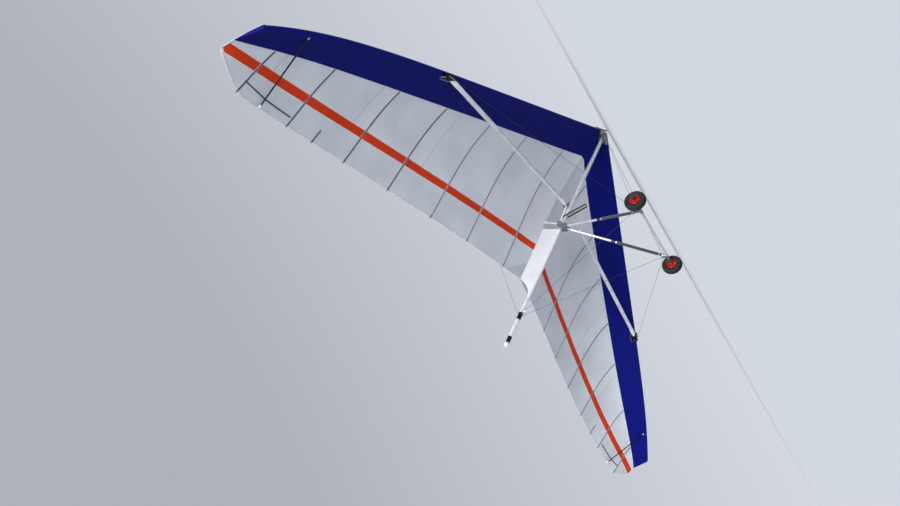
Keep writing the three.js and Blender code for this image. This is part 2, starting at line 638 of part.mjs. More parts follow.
function pocketPoint(u, v) {
  const around = 2 * v - 1;
  const reach = abs(around);
  const low = KEEL.radius + POCKET.gap + POCKET.cloth / 2;
  const rise = max(0, (reach - POCKET.wrapShare) / (1 - POCKET.wrapShare));
  const y = lerp(POCKET.front, lerp(POCKET.lowRear, POCKET.topRear, rise ** 0.5), u);
  const top = sailHeight(0.3, min(y, POCKET.topRear)) - CLOTH / 2 - POCKET.seamGap;
  if (reach < POCKET.wrapShare) {
    const angle = -PI / 2 + sign(around) * PI / 2 * reach / POCKET.wrapShare;
    return V(low * cos(angle), y, low * sin(angle));
  }
  const half = lerp(low, POCKET.topHalf, THREE.MathUtils.smoothstep(rise, 0.06, 0.7));
  return V(sign(around) * half, y, lerp(0, top, rise));
}

add('keel_pocket', 'whiteCloth', sheet(pocketPoint, 8, 16, POCKET.cloth));

// Nose cone: a fabric cover over the plates, with a hole for the keel and one for the wire

function conePoint(u, v) {
  const x = lerp(-CONE.halfWidth, CONE.halfWidth, u);
  const from = hypot(x, CONE.round);
  const cross = section(from, CONE.lift);
  const lowest = -(CONE.under - cross.leave) / (WRAP_END - cross.leave);
  const t = lerp(lowest, CONE.rearFraction * (1 - CONE.sideLoss * (x / CONE.halfWidth) ** 2), v);
  const point = sailPoint(from, t, CONE.lift);
  return V(x, point.y, point.z);
}

add('nose_cone', 'navyCloth', cut(sheet(conePoint, 12, 8, 3),
  bar(V(0, -100, 0), V(0, 60, 0), KEEL.radius + 0.5, KEEL_SIDES),
  bar(noseWireEnd, capPoint, WIRE_HOLE, 10)));

// The whole glider, tipped nose down, standing on the floor with its box centred on the origin

const glider = new THREE.Group();
for (const [name, colour, solid] of parts) {
  const [tint, roughness, metalness] = COLOURS[colour];
  const material = new THREE.MeshStandardMaterial({ color: tint, roughness, metalness });
  const mesh = new THREE.Mesh(toGeometry(solid), material);
  mesh.name = name;
  glider.add(mesh);
}

const loop = new THREE.Mesh(toGeometry(hangLoop()), new THREE.MeshStandardMaterial({
  color: COLOURS.webbing[0], roughness: COLOURS.webbing[1], metalness: COLOURS.webbing[2],
}));
loop.name = 'hang_loop';
loop.rotation.x = -pitch;
loop.position.set(0, LOOP.y, 0);
glider.add(loop);
glider.rotation.x = pitch;

const model = new THREE.Group();
model.add(glider);
model.updateMatrixWorld(true);
const bounds = new THREE.Box3().setFromObject(model, true);
const centre = bounds.getCenter(V(0, 0, 0));
glider.position.set(-centre.x, -centre.y, -bounds.min.z);

export default model;
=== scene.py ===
"""A king-posted, single-surface hang glider, parked nose down on its two wheels.

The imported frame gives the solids, and this file dresses them. Sizes are in millimetres in the
glider's own frame, with its nose at the origin, +X to the left wing, +Y aft along the keel and
+Z up. Place turns them to the row's frame, in metres. A star in a piece's or a node's name
stands for its side.
"""
import logging
import math
from dataclasses import dataclass
from enum import Enum

import bpy
import numpy as np
from mathutils import Matrix, Vector
from numpy.typing import ArrayLike


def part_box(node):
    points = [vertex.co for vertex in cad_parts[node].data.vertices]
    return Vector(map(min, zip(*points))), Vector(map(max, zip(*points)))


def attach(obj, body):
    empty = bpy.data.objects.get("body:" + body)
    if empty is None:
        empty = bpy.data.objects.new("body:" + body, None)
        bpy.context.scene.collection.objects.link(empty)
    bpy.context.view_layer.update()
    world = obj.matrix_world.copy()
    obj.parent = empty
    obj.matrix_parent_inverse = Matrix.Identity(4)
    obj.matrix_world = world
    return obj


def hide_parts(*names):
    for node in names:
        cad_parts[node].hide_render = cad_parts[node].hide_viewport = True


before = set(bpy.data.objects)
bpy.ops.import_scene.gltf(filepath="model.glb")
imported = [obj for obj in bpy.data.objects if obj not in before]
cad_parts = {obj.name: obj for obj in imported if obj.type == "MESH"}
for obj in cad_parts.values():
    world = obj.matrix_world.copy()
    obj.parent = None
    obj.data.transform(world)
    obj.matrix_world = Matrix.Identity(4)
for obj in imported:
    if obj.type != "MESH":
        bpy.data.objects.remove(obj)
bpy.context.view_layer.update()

Array = np.ndarray
Node = bpy.types.Node
Socket = bpy.types.NodeSocket
Tree = bpy.types.NodeTree

LOG = logging.getLogger("hang_glider")
MM = 0.001
TAU = 2.0 * math.pi
ORIGIN = np.zeros(3)
X, Y, Z = np.eye(3)
BAR = (1600.0, -1345.0)
KEEL_RADIUS = 25.0
JUNCTION_X = 3040.0
FAR_MAP = 1000.0


class Body(Enum):
    """The bodies that a piece can ride on."""

    FRAME = "frame"
    WHEEL_L = "wheel_L"
    WHEEL_R = "wheel_R"


class Slot(Enum):
    """The record's material slots."""

    TUBE = "tube"
    BRACKET = "bracket"
    BLACK_ALLOY = "black_alloy"
    WIRE = "wire"
    WHITE_CLOTH = "white_cloth"
    ORANGE_CLOTH = "orange_cloth"
    NAVY_CLOTH = "navy_cloth"
    PADDING = "padding"
    WEBBING = "webbing"
    RUBBER = "rubber"
    TYRE = "tyre"
    RED_PLASTIC = "red_plastic"
    END_CAP = "end_cap"


class Side(Enum):
    """The two sides of the glider."""

    LEFT = "L"
    RIGHT = "R"


# Shapes as arrays

def unit(vector: Array) -> Array:
    """Vectors of length one along the last axis."""
    return vector / np.maximum(np.linalg.norm(vector, axis=-1, keepdims=True), 1e-12)


def vec(*values: float) -> Array:
    """A float array of the given numbers."""
    return np.array(values, float)


def circle(count: int) -> Array:
    """Evenly spaced angles of a whole turn."""
    return np.arange(count) * TAU / count


def smooth(share: Array) -> Array:
    """A step from 0 to 1 that starts and ends gently: t t (3 - 2 t)."""
    share = np.clip(share, 0, 1)
    return share * share * (3 - 2 * share)


def reach_along(path: Array) -> Array:
    """How far along a path each of its points lies."""
    return np.cumsum(np.linalg.norm(np.diff(path, axis=0, prepend=path[:1]), axis=1))


def map_of(across: Array, along: Array) -> Array:
    """A map in metres from millimetres across each ring and along the rings."""
    return np.stack(np.broadcast_arrays(across * MM, along[:, None] * MM), -1)


@dataclass(frozen=True)
class Place:
    """Where the glider's own frame sits in the row's frame.

    It stands on its nose cap and both tyres, so the keel is tipped nose down by the angle
    down to the wheels plus the angle that the wheels' extra radius adds.
    """

    bar: tuple = BAR
    tyre_radius: float = 130.0
    nose_radius: float = 25.0

    def turn(self) -> Array:
        """The rotation about X by the nose-down angle.

        Returns:
            A 3 by 3 matrix.
        """
        y, z = self.bar
        extra = math.asin((self.tyre_radius - self.nose_radius) / math.hypot(y, z))
        pitch = math.atan2(-z, y) + extra
        c, s = math.cos(pitch), math.sin(pitch)
        return np.array([[1.0, 0.0, 0.0], [0.0, c, -s], [0.0, s, c]])

    def origin(self) -> Array:
        """The nose's place in the row's frame, from where the frame holds the base bar."""
        low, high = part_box("basebar")
        return np.array((low + high) / 2) - self.turn() @ (vec(0.0, *self.bar) * MM)

    def to_row(self, points: Array) -> Array:
        """Places in millimetres of the glider's frame as places in metres of the row's."""
        return points * MM @ self.turn().T + self.origin()


PLACE = Place()


def grid_faces(rows: int, columns: int, wrap_rows: bool = False,
               wrap_columns: bool = False) -> Array:
    """Quads between neighbours of a grid: here, next column, next row's next column, next row.

    Args:
        rows: number of rows of points.
        columns: number of points in a row.
        wrap_rows: joins the last row to the first.
        wrap_columns: joins the last column to the first.
    Returns:
        An array of four point numbers for each face.
    """
    i, j = np.mgrid[:rows if wrap_rows else rows - 1, :columns if wrap_columns else columns - 1]
    below, beside = (i + 1) % rows * columns, (j + 1) % columns
    corners = [i * columns + j, i * columns + beside, below + beside, below + j]
    return np.stack(corners, -1).reshape(-1, 4)


@dataclass
class Shape:
    """A closed surface: its points in millimetres, its faces and a place on the cloth or skin."""

    points: Array
    faces: list
    uv: Array

    @classmethod
    def rings(cls, points: Array, uv: Array, closed: bool = False) -> "Shape":
        """Rings of points joined into a skin, each ring closed on itself.

        Args:
            points: rows by columns by 3, with one ring in each row.
            uv: rows by columns by 2, in metres.
            closed: joins the last ring to the first, which otherwise get a face each.
        Returns:
            The closed shape.
        """
        rows, columns = points.shape[:2]
        faces = grid_faces(rows, columns, closed, True).tolist()
        if not closed:
            end = rows * columns
            faces += [list(range(columns))[::-1], list(range(end - columns, end))]
        return cls(points.reshape(-1, 3), faces, uv.reshape(-1, 2))

    def mirrored(self) -> "Shape":
        """The same shape on the other side of the keel, still facing outwards."""
        return Shape(self.points * vec(-1, 1, 1), [f[::-1] for f in self.faces], self.uv)


def joined(*shapes: Shape) -> Shape:
    """The shapes as one, each one's point numbers shifted past the ones before it.

    Args:
        shapes: closed surfaces.
    Returns:
        One shape of them all.
    """
    faces, first = [], 0
    for shape in shapes:
        faces += [[i + first for i in face] for face in shape.faces]
        first += len(shape.points)
    return Shape(np.concatenate([s.points for s in shapes]), faces,
                 np.concatenate([s.uv for s in shapes]))


def cross_axes(along: Array) -> tuple:
    """Two unit vectors square to a unit vector, so that first x second = along.

    Args:
        along: the unit vector.
    Returns:
        The first and the second.
    """
    helper = np.where(np.abs(along[..., :1]) < 0.9, X, Z)
    first = unit(np.cross(helper, along))
    return first, np.cross(along, first)


def turned(profile: ArrayLike, start: Array, along: Array, sides: int = 32,
           closed: bool = False, shift: ArrayLike = 0.0) -> Shape:
    """A profile carried round an axis.

    Ring i is centred at start plus distance i along the axis and has radius i; its points are
    centre + radius (cos a first + sin a second), with a running once round.

    Args:
        profile: (distance, radius) pairs, outwards with growing distance.
        start: where the distance is nought.
        along: the axis.
        sides: number of points in a ring.
        closed: joins the profile's last point to its first, as in a tyre.
        shift: how far each point moves along the axis, a row for each ring.
    Returns:
        The turned shape.
    """
    profile = np.array(profile, float)
    distance, radius = profile.T
    axis = unit(along)
    first, second = cross_axes(axis)
    angle = circle(sides)
    ring = np.cos(angle)[:, None] * first + np.sin(angle)[:, None] * second
    forward = distance[:, None] + np.zeros(sides) + shift
    points = start + forward[..., None] * axis + radius[:, None, None] * ring
    round_it = np.abs(angle - math.pi) * max(radius.max(), 1.0)
    return Shape.rings(points, map_of(round_it, reach_along(profile)), closed)


def hoop(start: float, end: float, inner: float, outer: float, edge: float = 0.5) -> list:
    """The profile of a band round a tube, with its edges broken."""
    return [(start, inner), (start + edge, outer), (end - edge, outer), (end, inner)]


def rod(start: Array, end: Array, radius: float, sides: int = 32,
        chamfer: float = 0.8) -> Shape:
    """A round rod with chamfered ends.

    Args:
        start, end: the middles of its ends.
        radius: half its width.
        sides: number of points round it.
        chamfer: size of the chamfer.
    Returns:
        The rod.
    """
    length = float(np.linalg.norm(end - start))
    edge = min(chamfer, radius * 0.5, length * 0.3)
    return turned(hoop(0, length, radius - edge, radius, edge), start, end - start, sides)


def pipe(start: Array, end: Array, radius: float, wall: float = 1.6, sides: int = 48,
         depth: float = 60.0) -> Shape:
    """A round tube whose open ends show a bore.

    Args:
        start, end: the middles of its ends.
        radius: half its width.
        wall: how thick it is.
        sides: number of points round it.
        depth: how deep the bore goes.
    Returns:
        The tube.
    """
    length = float(np.linalg.norm(end - start))
    inner, lip = radius - wall, 0.3
    half = [(depth, 0.2), (depth, inner), (lip, inner), (0, inner + lip), (0, radius - lip),
            (lip, radius)]
    profile = half + [(length - distance, r) for distance, r in half[::-1]]
    return turned(profile, start, end - start, sides)


def swept(path: Array, outline: Array, up: Array, closed: bool = False) -> Shape:
    """An outline carried along a path.

    At each station the outline's first number runs along cross(up, way) and its second along
    the way's own up, so up sets how the outline is turned.

    Args:
        path: stations by 3, in millimetres.
        outline: points by 2, anticlockwise seen against the way.
        up: one vector, or one for each station.
        closed: joins the last station to the first.
    Returns:
        The swept shape.
    """
    if closed:
        way = unit(np.roll(path, -1, 0) - np.roll(path, 1, 0))
    else:
        way = unit(np.gradient(path, axis=0))
    across = unit(np.cross(np.broadcast_to(up, path.shape), way))[:, None]
    over = np.cross(way[:, None], across)
    points = path[:, None] + outline[:, :1] * across + outline[:, 1:] * over
    return Shape.rings(points, map_of(reach_along(outline), reach_along(path)), closed)


def oval(width: float, height: float, count: int = 16) -> Array:
    """An oval outline: half the width times cos a, and half the height times sin a."""
    angle = circle(count)
    return np.stack([np.cos(angle) * width, np.sin(angle) * height], -1) / 2


def rounded(width: float, height: float, radius: float, count: int = 6) -> Array:
    """A rectangle with rounded corners, anticlockwise about the middle.

    Args:
        width, height: its sizes.
        radius: of the corners.
        count: points in a corner's quarter turn.
    Returns:
        The outline, points by 2.
    """
    angle = np.linspace(0, math.pi / 2, count) + np.arange(4)[:, None] * math.pi / 2
    middle = (vec(width, height) / 2 - radius) * [[1, 1], [-1, 1], [-1, -1], [1, -1]]
    arc = radius * np.stack([np.cos(angle), np.sin(angle)], -1)
    return (middle[:, None] + arc).reshape(-1, 2)


def plate(outline: Array, centre: Array, across: Array, up: Array, thickness: float,
          edge: float = 0.6) -> Shape:
    """A flat plate with broken edges.

    Args:
        outline: points by 2, along across and up.
        centre: where the outline's nought lies.
        across, up: the ways of the plate's plane.
        thickness: its whole thickness.
        edge: size of the broken edges.
    Returns:
        The plate.
    """
    middle = outline.mean(0)
    inset = middle + (outline - middle) * (1 - edge / np.abs(outline - middle).max())
    rings = np.stack([inset, outline, outline, inset])
    height = vec(-thickness / 2, edge - thickness / 2, thickness / 2 - edge, thickness / 2)
    points = (centre + rings[..., :1] * across + rings[..., 1:] * up
              + height[:, None, None] * np.cross(across, up))
    return Shape.rings(points, rings * MM)


def evenly(path: Array, count: int) -> Array:
    """Points at even steps along a path.

    Args:
        path: points by 3.
        count: how many points to give.
    Returns:
        Points by 3.
    """
    reach = reach_along(path)
    at = np.linspace(0, reach[-1], count)
    return np.stack([np.interp(at, reach, path[:, i]) for i in range(3)], -1)


def sheet(middle: Array, thickness: float, uv: Array | None = None) -> Shape:
    """A closed sheet: a grid moved half the thickness each way along its normals, and a rim.

    Args:
        middle: rows by columns by 3, with the columns' way x the rows' way facing up.
        thickness: in millimetres.
        uv: rows by columns by 2, in metres; without it the plan is the map.
    Returns:
        The sheet with its two skins and the rim between them.
    """
    rows, columns = middle.shape[:2]
    uv = middle[..., :2] * MM if uv is None else uv
    normal = unit(np.cross(np.gradient(middle, axis=1), np.gradient(middle, axis=0)))
    skins = np.stack([middle + normal * thickness / 2, middle - normal * thickness / 2])
    quads = grid_faces(rows, columns)
    count = rows * columns
    number = np.arange(count).reshape(rows, columns)
    loop = np.concatenate([number[0, :-1], number[:-1, -1], number[-1, :0:-1], number[:0:-1, 0]])
    after = np.roll(loop, -1)
    rim = np.stack([after, loop, loop + count, after + count], -1)
    faces = np.concatenate([quads, quads[:, ::-1] + count, rim]).tolist()
    return Shape(skins.reshape(-1, 3), faces, np.concatenate([uv.reshape(-1, 2)] * 2))


# Blender's meshes and objects

def linked(name: str, data: bpy.types.ID) -> bpy.types.Object:
    """A new object of the scene.

    Args:
        name: its name.
        data: the mesh, light or camera that it holds.
    Returns:
        The object.
    """
    thing = bpy.data.objects.new(name, data)
    bpy.context.scene.collection.objects.link(thing)
    return thing


def read(items: bpy.types.bpy_prop_collection, name: str, width: int = 1,
         kind: type = np.float32) -> Array:
    """One number, or a row of numbers, for each of a mesh's items.

    Args:
        items: such as its vertices or its corners.
        name: what is read from each.
        width: how many numbers an item has.
        kind: the numbers' type.
    Returns:
        The numbers.
    """
    values = np.zeros((len(items), width), kind)
    items.foreach_get(name, values.ravel())
    return values.squeeze()


def skin(name: str, points: Array, shape: Shape) -> bpy.types.Mesh:
    """A mesh of the shape's faces over the points, with the shape's map named Skin.

    Args:
        name: the mesh's name.
        points: the places of its vertices.
        shape: gives the faces and the map.
    Returns:
        The mesh.
    """
    mesh = bpy.data.meshes.new(name)
    mesh.from_pydata(points.tolist(), [], shape.faces)
    layer = mesh.uv_layers.new(name="Skin")
    corner = read(mesh.loops, "vertex_index", kind=np.int32)
    layer.data.foreach_set("uv", shape.uv[corner].astype(np.float32).ravel())
    return mesh


def carved(shape: Shape, *tools: Shape) -> Shape:
    """The shape without what lies inside the tools, cut by Blender's exact boolean.

    The tools' maps are set a kilometre apart, so that a corner on a cut's edge keeps the
    shape's own place on the map.

    Args:
        shape: a closed shape, as a panel or a rim.
        tools: the closed shapes that cut it.
    Returns:
        What is left, closed along each cut.
    """
    forms = [shape] + [Shape(tool.points, tool.faces, tool.uv + FAR_MAP) for tool in tools]
    solids = [linked("carving", skin("carving", form.points, form)) for form in forms]
    for tool in solids[1:]:
        cut = solids[0].modifiers.new("cut", "BOOLEAN")
        cut.object, cut.operation, cut.solver = tool, "DIFFERENCE", "EXACT"
    graph = bpy.context.evaluated_depsgraph_get()
    mesh = bpy.data.meshes.new_from_object(solids[0].evaluated_get(graph))
    corner = read(mesh.loops, "vertex_index", kind=np.int32)
    place = read(mesh.uv_layers[0].data, "uv", 2)
    walls = place[:, 0] > FAR_MAP / 2
    uv = np.zeros((len(mesh.vertices), 2))
    uv[corner[walls]] = place[walls] - FAR_MAP
    uv[corner[~walls]] = place[~walls]
    faces = [list(polygon.vertices) for polygon in mesh.polygons]
    for solid in solids:
        bpy.data.objects.remove(solid)
    return Shape(read(mesh.vertices, "co", 3).astype(float), faces, uv)


# Finishes

def linear(hex_colour: str) -> tuple:
    """An sRGB colour in linear light: a straight foot, and the 2.4 power curve above it.

    Args:
        hex_colour: such as #9DA1A6.
    Returns:
        Red, green, blue and alpha.
    """
    parts = [int(hex_colour[i:i + 2], 16) / 255 for i in (1, 3, 5)]
    return tuple(p / 12.92 if p <= 0.04045 else ((p + 0.055) / 1.055) ** 2.4
                 for p in parts) + (1.0,)


def add_node(tree: Tree, kind: str, inputs: dict | None = None,
             **settings: object) -> Node:
    """Adds a node, sets its settings, and sets or links its inputs.

    Args:
        tree: the material's node tree.
        kind: the node's type name after ShaderNode.
        inputs: for each input's name or number, a value or the socket that feeds it.
        settings: the node's own properties.
    Returns:
        The node.
    """
    node = tree.nodes.new("ShaderNode" + kind)
    for name, value in settings.items():
        setattr(node, name, value)
    for name, value in (inputs or {}).items():
        if isinstance(value, Socket):
            tree.links.new(value, node.inputs[name])
        else:
            node.inputs[name].default_value = value
    return node


def noise(tree: Tree, vector: Socket, grain_mm: float, detail: float = 3.0) -> Socket:
    """Noise whose grains are about grain_mm across, on a map in metres."""
    return add_node(tree, "TexNoise", {
        "Vector": vector, "Scale": 1000.0 / grain_mm, "Detail": detail}).outputs[0]


def waves(tree: Tree, vector: Socket, period_mm: float, way: str) -> Socket:
    """Bands period_mm apart, on a map in metres. At scale one they lie TAU / 20 apart."""
    scale = TAU / 20.0 * 1000.0 / period_mm
    return add_node(tree, "TexWave", {"Vector": vector, "Scale": scale},
                    bands_direction=way).outputs["Fac"]


def weave(tree: Tree, uv: Socket, thread_mm: float, how: str) -> Socket:
    """Threads both ways on the cloth's own map, laid over each other by a Math operation."""
    warp, weft = (waves(tree, uv, thread_mm, way) for way in "XY")
    return add_node(tree, "Math", {0: warp, 1: weft}, operation=how).outputs[0]


def blended(tree: Tree, factor: float, first: Socket, second: Socket) -> Socket:
    """Two values mixed by a factor."""
    return add_node(tree, "Mix", {"Factor": factor, "A": first, "B": second},
                    data_type="FLOAT").outputs[0]


def ranged(tree: Tree, value: Socket, low: float, high: float, to_low: float,
           to_high: float) -> Socket:
    """A value's span from low to high, stretched to another span."""
    return add_node(tree, "MapRange", {"Value": value, "From Min": low, "From Max": high,
                                       "To Min": to_low, "To Max": to_high}).outputs[0]


def bump(tree: Tree, shader: Node, height: Socket, depth_mm: float, strength: float) -> None:
    """Turns a height into a bump.

    Args:
        tree: the material's node tree.
        shader: the shader that is bumped.
        height: nought to one.
        depth_mm: how deep the bump goes.
        strength: how much of it shows.
    """
    add = add_node(tree, "Bump", {"Height": height, "Distance": depth_mm * MM,
                                  "Strength": strength})
    tree.links.new(add.outputs[0], shader.inputs["Normal"])


@dataclass(frozen=True)
class Finish:
    """A surface finish. Each kind adds its own pattern nodes to a Principled shader.

    In each kind, shades are the darker and the lighter share of the colour, wears the smoother
    and the rougher share of the roughness, and relief the bump's depth in millimetres and its
    strength.
    """

    name: str
    colour: str
    roughness: float
    slot: Slot = Slot.BRACKET
    metallic: float = 0.0

    def material(self) -> bpy.types.Material:
        """The finish's material, made when it is first asked for.

        Returns:
            The material.
        """
        made = bpy.data.materials.get(self.name)
        if made is None:
            made = bpy.data.materials.new(self.name)
            made.use_nodes = True
            tree = made.node_tree
            tree.nodes.clear()
            shader = add_node(tree, "BsdfPrincipled", {
                "Base Color": linear(self.colour), "Roughness": self.roughness,
                "Metallic": self.metallic})
            out = add_node(tree, "OutputMaterial", {"Surface": shader.outputs[0]})
            self.pattern(tree, shader, out)
        return made

    def pattern(self, tree: Tree, shader: Node, out: Node) -> None:
        """Adds what the surface shows beyond one colour.

        Args:
            tree: the material's node tree.
            shader: its Principled shader.
            out: its output node.
        """

    def tint(self, tree: Tree, shader: Node, factor: Socket, darker: float,
             lighter: float) -> Socket:
        """Varies the colour between a darker and a lighter shade of it.

        Args:
            tree: the material's node tree.
            shader: the Principled shader whose colour is fed.
            factor: nought to one.
            darker, lighter: brightness where the factor is low, and where it is high.
        Returns:
            The colour socket.
        """
        ramp = add_node(tree, "ValToRGB", {"Fac": factor})
        for stop, place, share in zip(ramp.color_ramp.elements, (0.3, 0.7), (darker, lighter)):
            stop.position = place
            shade = [min(c * share, 1.0) for c in linear(self.colour)[:3]]
            stop.color = (*shade, 1.0)
        tree.links.new(ramp.outputs[0], shader.inputs["Base Color"])
        return ramp.outputs[0]

    def wear(self, tree: Tree, shader: Node, factor: Socket, low: float, high: float) -> None:
        """Varies the roughness between two shares of it, and never past one.

        Args:
            tree: the material's node tree.
            shader: the Principled shader whose roughness is fed.
            factor: nought to one.
            low, high: the shares where the factor is low, and where it is high.
        """
        rough = ranged(tree, factor, 0.3, 0.7, self.roughness * low,
                       min(1.0, self.roughness * high))
        tree.links.new(rough, shader.inputs["Roughness"])


@dataclass(frozen=True)
class Metal(Finish):
    """Aluminium or steel: fine scratches or blasting grain break up the reflections."""

    metallic: float = 1.0
    grain_mm: float = 3.0
    stretch: float = 1.0
    marks_mm: float = 90.0
    shades: tuple = (0.82, 1.08)
    wears: tuple = (0.75, 1.35)
    relief: tuple = (0.05, 0.35)

    def pattern(self, tree: Tree, shader: Node, out: Node) -> None:
        """Grain drawn out along the tube, with handling marks a hand's breadth across.

        Args:
            tree, shader, out: as in Finish.pattern.
        """
        place = add_node(tree, "TexCoord")
        drawn = add_node(tree, "Mapping", {
            "Vector": place.outputs["UV"], "Scale": (1.0, 1.0 / self.stretch, 1.0)})
        fine = noise(tree, drawn.outputs[0], self.grain_mm)
        marks = noise(tree, place.outputs["Object"], self.marks_mm, 5.0)
        self.tint(tree, shader, marks, *self.shades)
        self.wear(tree, shader, blended(tree, 0.5, fine, marks), *self.wears)
        bump(tree, shader, fine, *self.relief)


@dataclass(frozen=True)
class Sailcloth(Finish):
    """Woven polyester sailcloth: a rip-stop grid, soft wrinkles, and light that comes through."""

    slot: Slot = Slot.WHITE_CLOTH
    glow: float = 0.4
    gloss: float = 0.3
    sheen: float = 0.1
    grid_mm: float = 9.0
    seam_every_m: float = 0.0
    lap_edge_m: tuple = (0.007, 0.009)
    lap_shade: float = 0.86
    mottle_mm: float = 420.0
    wrinkle_mm: float = 900.0
    wrinkle_scale: tuple = (3.2, 0.9, 1.0)
    thread_shares: tuple = (0.22, 0.06)
    shades: tuple = (0.9, 1.04)
    relief: tuple = (9.0, 0.55)

    def pattern(self, tree: Tree, shader: Node, out: Node) -> None:
        """Threads on the cloth's own map, drawn coarse so that they still show, and wrinkles.

        Args:
            tree, shader, out: as in Finish.pattern.
        """
        uv = add_node(tree, "TexCoord").outputs["UV"]
        threads = weave(tree, uv, self.grid_mm, "MAXIMUM")
        in_colour, in_bump = self.thread_shares
        shade = blended(tree, in_colour, noise(tree, uv, self.mottle_mm, 4.0), threads)
        colour = self.tint(tree, shader, shade, *self.shades)
        stretched = add_node(tree, "Mapping", {"Vector": uv, "Scale": self.wrinkle_scale})
        wrinkle = noise(tree, stretched.outputs[0], self.wrinkle_mm, 6.0)
        bump(tree, shader, blended(tree, in_bump, wrinkle, threads), *self.relief)
        if self.seam_every_m:
            colour = self.seams(tree, shader, uv, colour)
        shader.inputs["Sheen Weight"].default_value = self.sheen
        shader.inputs["Specular IOR Level"].default_value = self.gloss
        through = add_node(tree, "BsdfTranslucent", {"Color": colour})
        mixed = add_node(tree, "MixShader", {
            0: self.glow, 1: shader.outputs[0], 2: through.outputs[0]})
        tree.links.new(mixed.outputs[0], out.inputs["Surface"])

    def seams(self, tree: Tree, shader: Node, uv: Socket, colour: Socket) -> Socket:
        """Darker chordwise lines where two cloths lap, a thumb wide.

        Args:
            tree: the material's node tree.
            shader: the Principled shader whose colour is fed.
            uv: the cloth's own map, in metres.
            colour: the cloth's colour.
        Returns:
            The colour with the laps in it.
        """
        across = add_node(tree, "SeparateXYZ", {0: uv})
        turn = add_node(tree, "Math", {0: across.outputs[0], 1: self.seam_every_m},
                        operation="PINGPONG")
        lap = ranged(tree, turn.outputs[0], *self.lap_edge_m, self.lap_shade, 1.0)
        dark = add_node(tree, "Mix", {0: 1.0, 6: colour, 7: lap}, data_type="RGBA",
                        blend_type="MULTIPLY").outputs[2]
        tree.links.new(dark, shader.inputs["Base Color"])
        return dark


@dataclass(frozen=True)
class Woven(Finish):
    """Nylon webbing or padded sleeve cloth: a coarse over-and-under weave with a soft sheen."""

    slot: Slot = Slot.WEBBING
    thread_mm: float = 2.0
    thread_share: float = 0.4
    faded_mm: float = 40.0
    shades: tuple = (0.6, 1.5)
    relief: tuple = (0.5, 0.7)
    sheen: float = 0.3

    def pattern(self, tree: Tree, shader: Node, out: Node) -> None:
        """Two sets of threads on the strap's own map, and faded patches.

        Args:
            tree, shader, out: as in Finish.pattern.
        """
        place = add_node(tree, "TexCoord")
        threads = weave(tree, place.outputs["UV"], self.thread_mm, "MULTIPLY")
        faded = noise(tree, place.outputs["Object"], self.faded_mm, 4.0)
        self.tint(tree, shader, blended(tree, self.thread_share, faded, threads), *self.shades)
        bump(tree, shader, threads, *self.relief)
        shader.inputs["Sheen Weight"].default_value = self.sheen


@dataclass(frozen=True)
class Moulded(Finish):
    """Moulded plastic or rubber: fine mould grain, and scuffs that change the gloss."""

    slot: Slot = Slot.RUBBER
    grain_mm: float = 2.0
    depth_mm: float = 0.1
    strength: float = 0.6
    scuff: float = 0.3
    patch_mm: float = 35.0
    wears: tuple = (0.85, 1.2)

    def pattern(self, tree: Tree, shader: Node, out: Node) -> None:
        """Grain in the bump, and patches a few centimetres across in colour and gloss.

        Args:
            tree, shader, out: as in Finish.pattern.
        """
        place = add_node(tree, "TexCoord").outputs["Object"]
        patches = noise(tree, place, self.patch_mm, 6.0)
        self.tint(tree, shader, patches, 1.0 - self.scuff, 1.0 + self.scuff)
        self.wear(tree, shader, patches, *self.wears)
        bump(tree, shader, noise(tree, place, self.grain_mm), self.depth_mm, self.strength)


@dataclass(frozen=True)
class Stranded(Finish):
    """Stranded steel stay: strands wind round it, with painted shade between and painted
    highlight on them.
    """

    slot: Slot = Slot.WIRE
    lay_mm: float = 14.0
    shades: tuple = (0.6, 1.3)
    relief: tuple = (0.4, 0.8)

    def pattern(self, tree: Tree, shader: Node, out: Node) -> None:
        """Slanted bands on the wire's own map, drawn coarser than the real strands.

        Args:
            tree, shader, out: as in Finish.pattern.
        """
        place = add_node(tree, "TexCoord")
        strands = waves(tree, place.outputs["UV"], self.lay_mm, "DIAGONAL")
        # Painted shade in the valleys between strands and painted highlight on their crowns
        self.tint(tree, shader, strands, *self.shades)
        bump(tree, shader, strands, *self.relief)


# Woven polyester, white: pale and bright against the light
WHITE_CLOTH = Sailcloth("woven_sailcloth_white", "#DFE1E6", 0.62, glow=0.36, seam_every_m=0.57)
# Trailing panel of the same cloth without the chordwise laps
TRAIL_CLOTH = Sailcloth("woven_sailcloth_trailing", "#DBDEE3", 0.62, glow=0.36)
# The pocket's cloth: doubled, so it is denser and brighter than the panels
POCKET_WHITE = Sailcloth("woven_sailcloth_doubled", "#DEE0E4", 0.6, glow=0.3)
# Solution-dyed polyester, orange-red: it glows where light comes through
ORANGE_CLOTH = Sailcloth("woven_sailcloth_orange", "#DE491E", 0.6, Slot.ORANGE_CLOTH, glow=0.34,
                         gloss=0.15, sheen=0.0)
# Mylar-backed polyester, navy: dense and deep, hardly any light through it and little gloss
NAVY_CLOTH = Sailcloth("backed_sailcloth_navy", "#050D6A", 0.6, Slot.NAVY_CLOTH, glow=0.05,
                       gloss=0.1, sheen=0.0)
# Batten pockets, two thicknesses of cloth over a rod: dark grey as painted shade, for the
# batten's shadow through the sail seen from below
POCKET_SHADE_CLOTH = Sailcloth("pocket_cloth_shaded", "#4C505E", 0.7, glow=0.1)
# The inner pockets: the same cloth in a paler painted shade, for the inner battens' fainter
# shadows
PALE_POCKET_SHADE_CLOTH = Sailcloth("pocket_cloth_pale_shade", "#8C909C", 0.7, glow=0.2)
# Piping and hems: folded white tape, brighter than one layer
PIPING = Woven("folded_tape_white", "#F2F2F0", 0.7, Slot.WHITE_CLOTH, thread_mm=3.0)
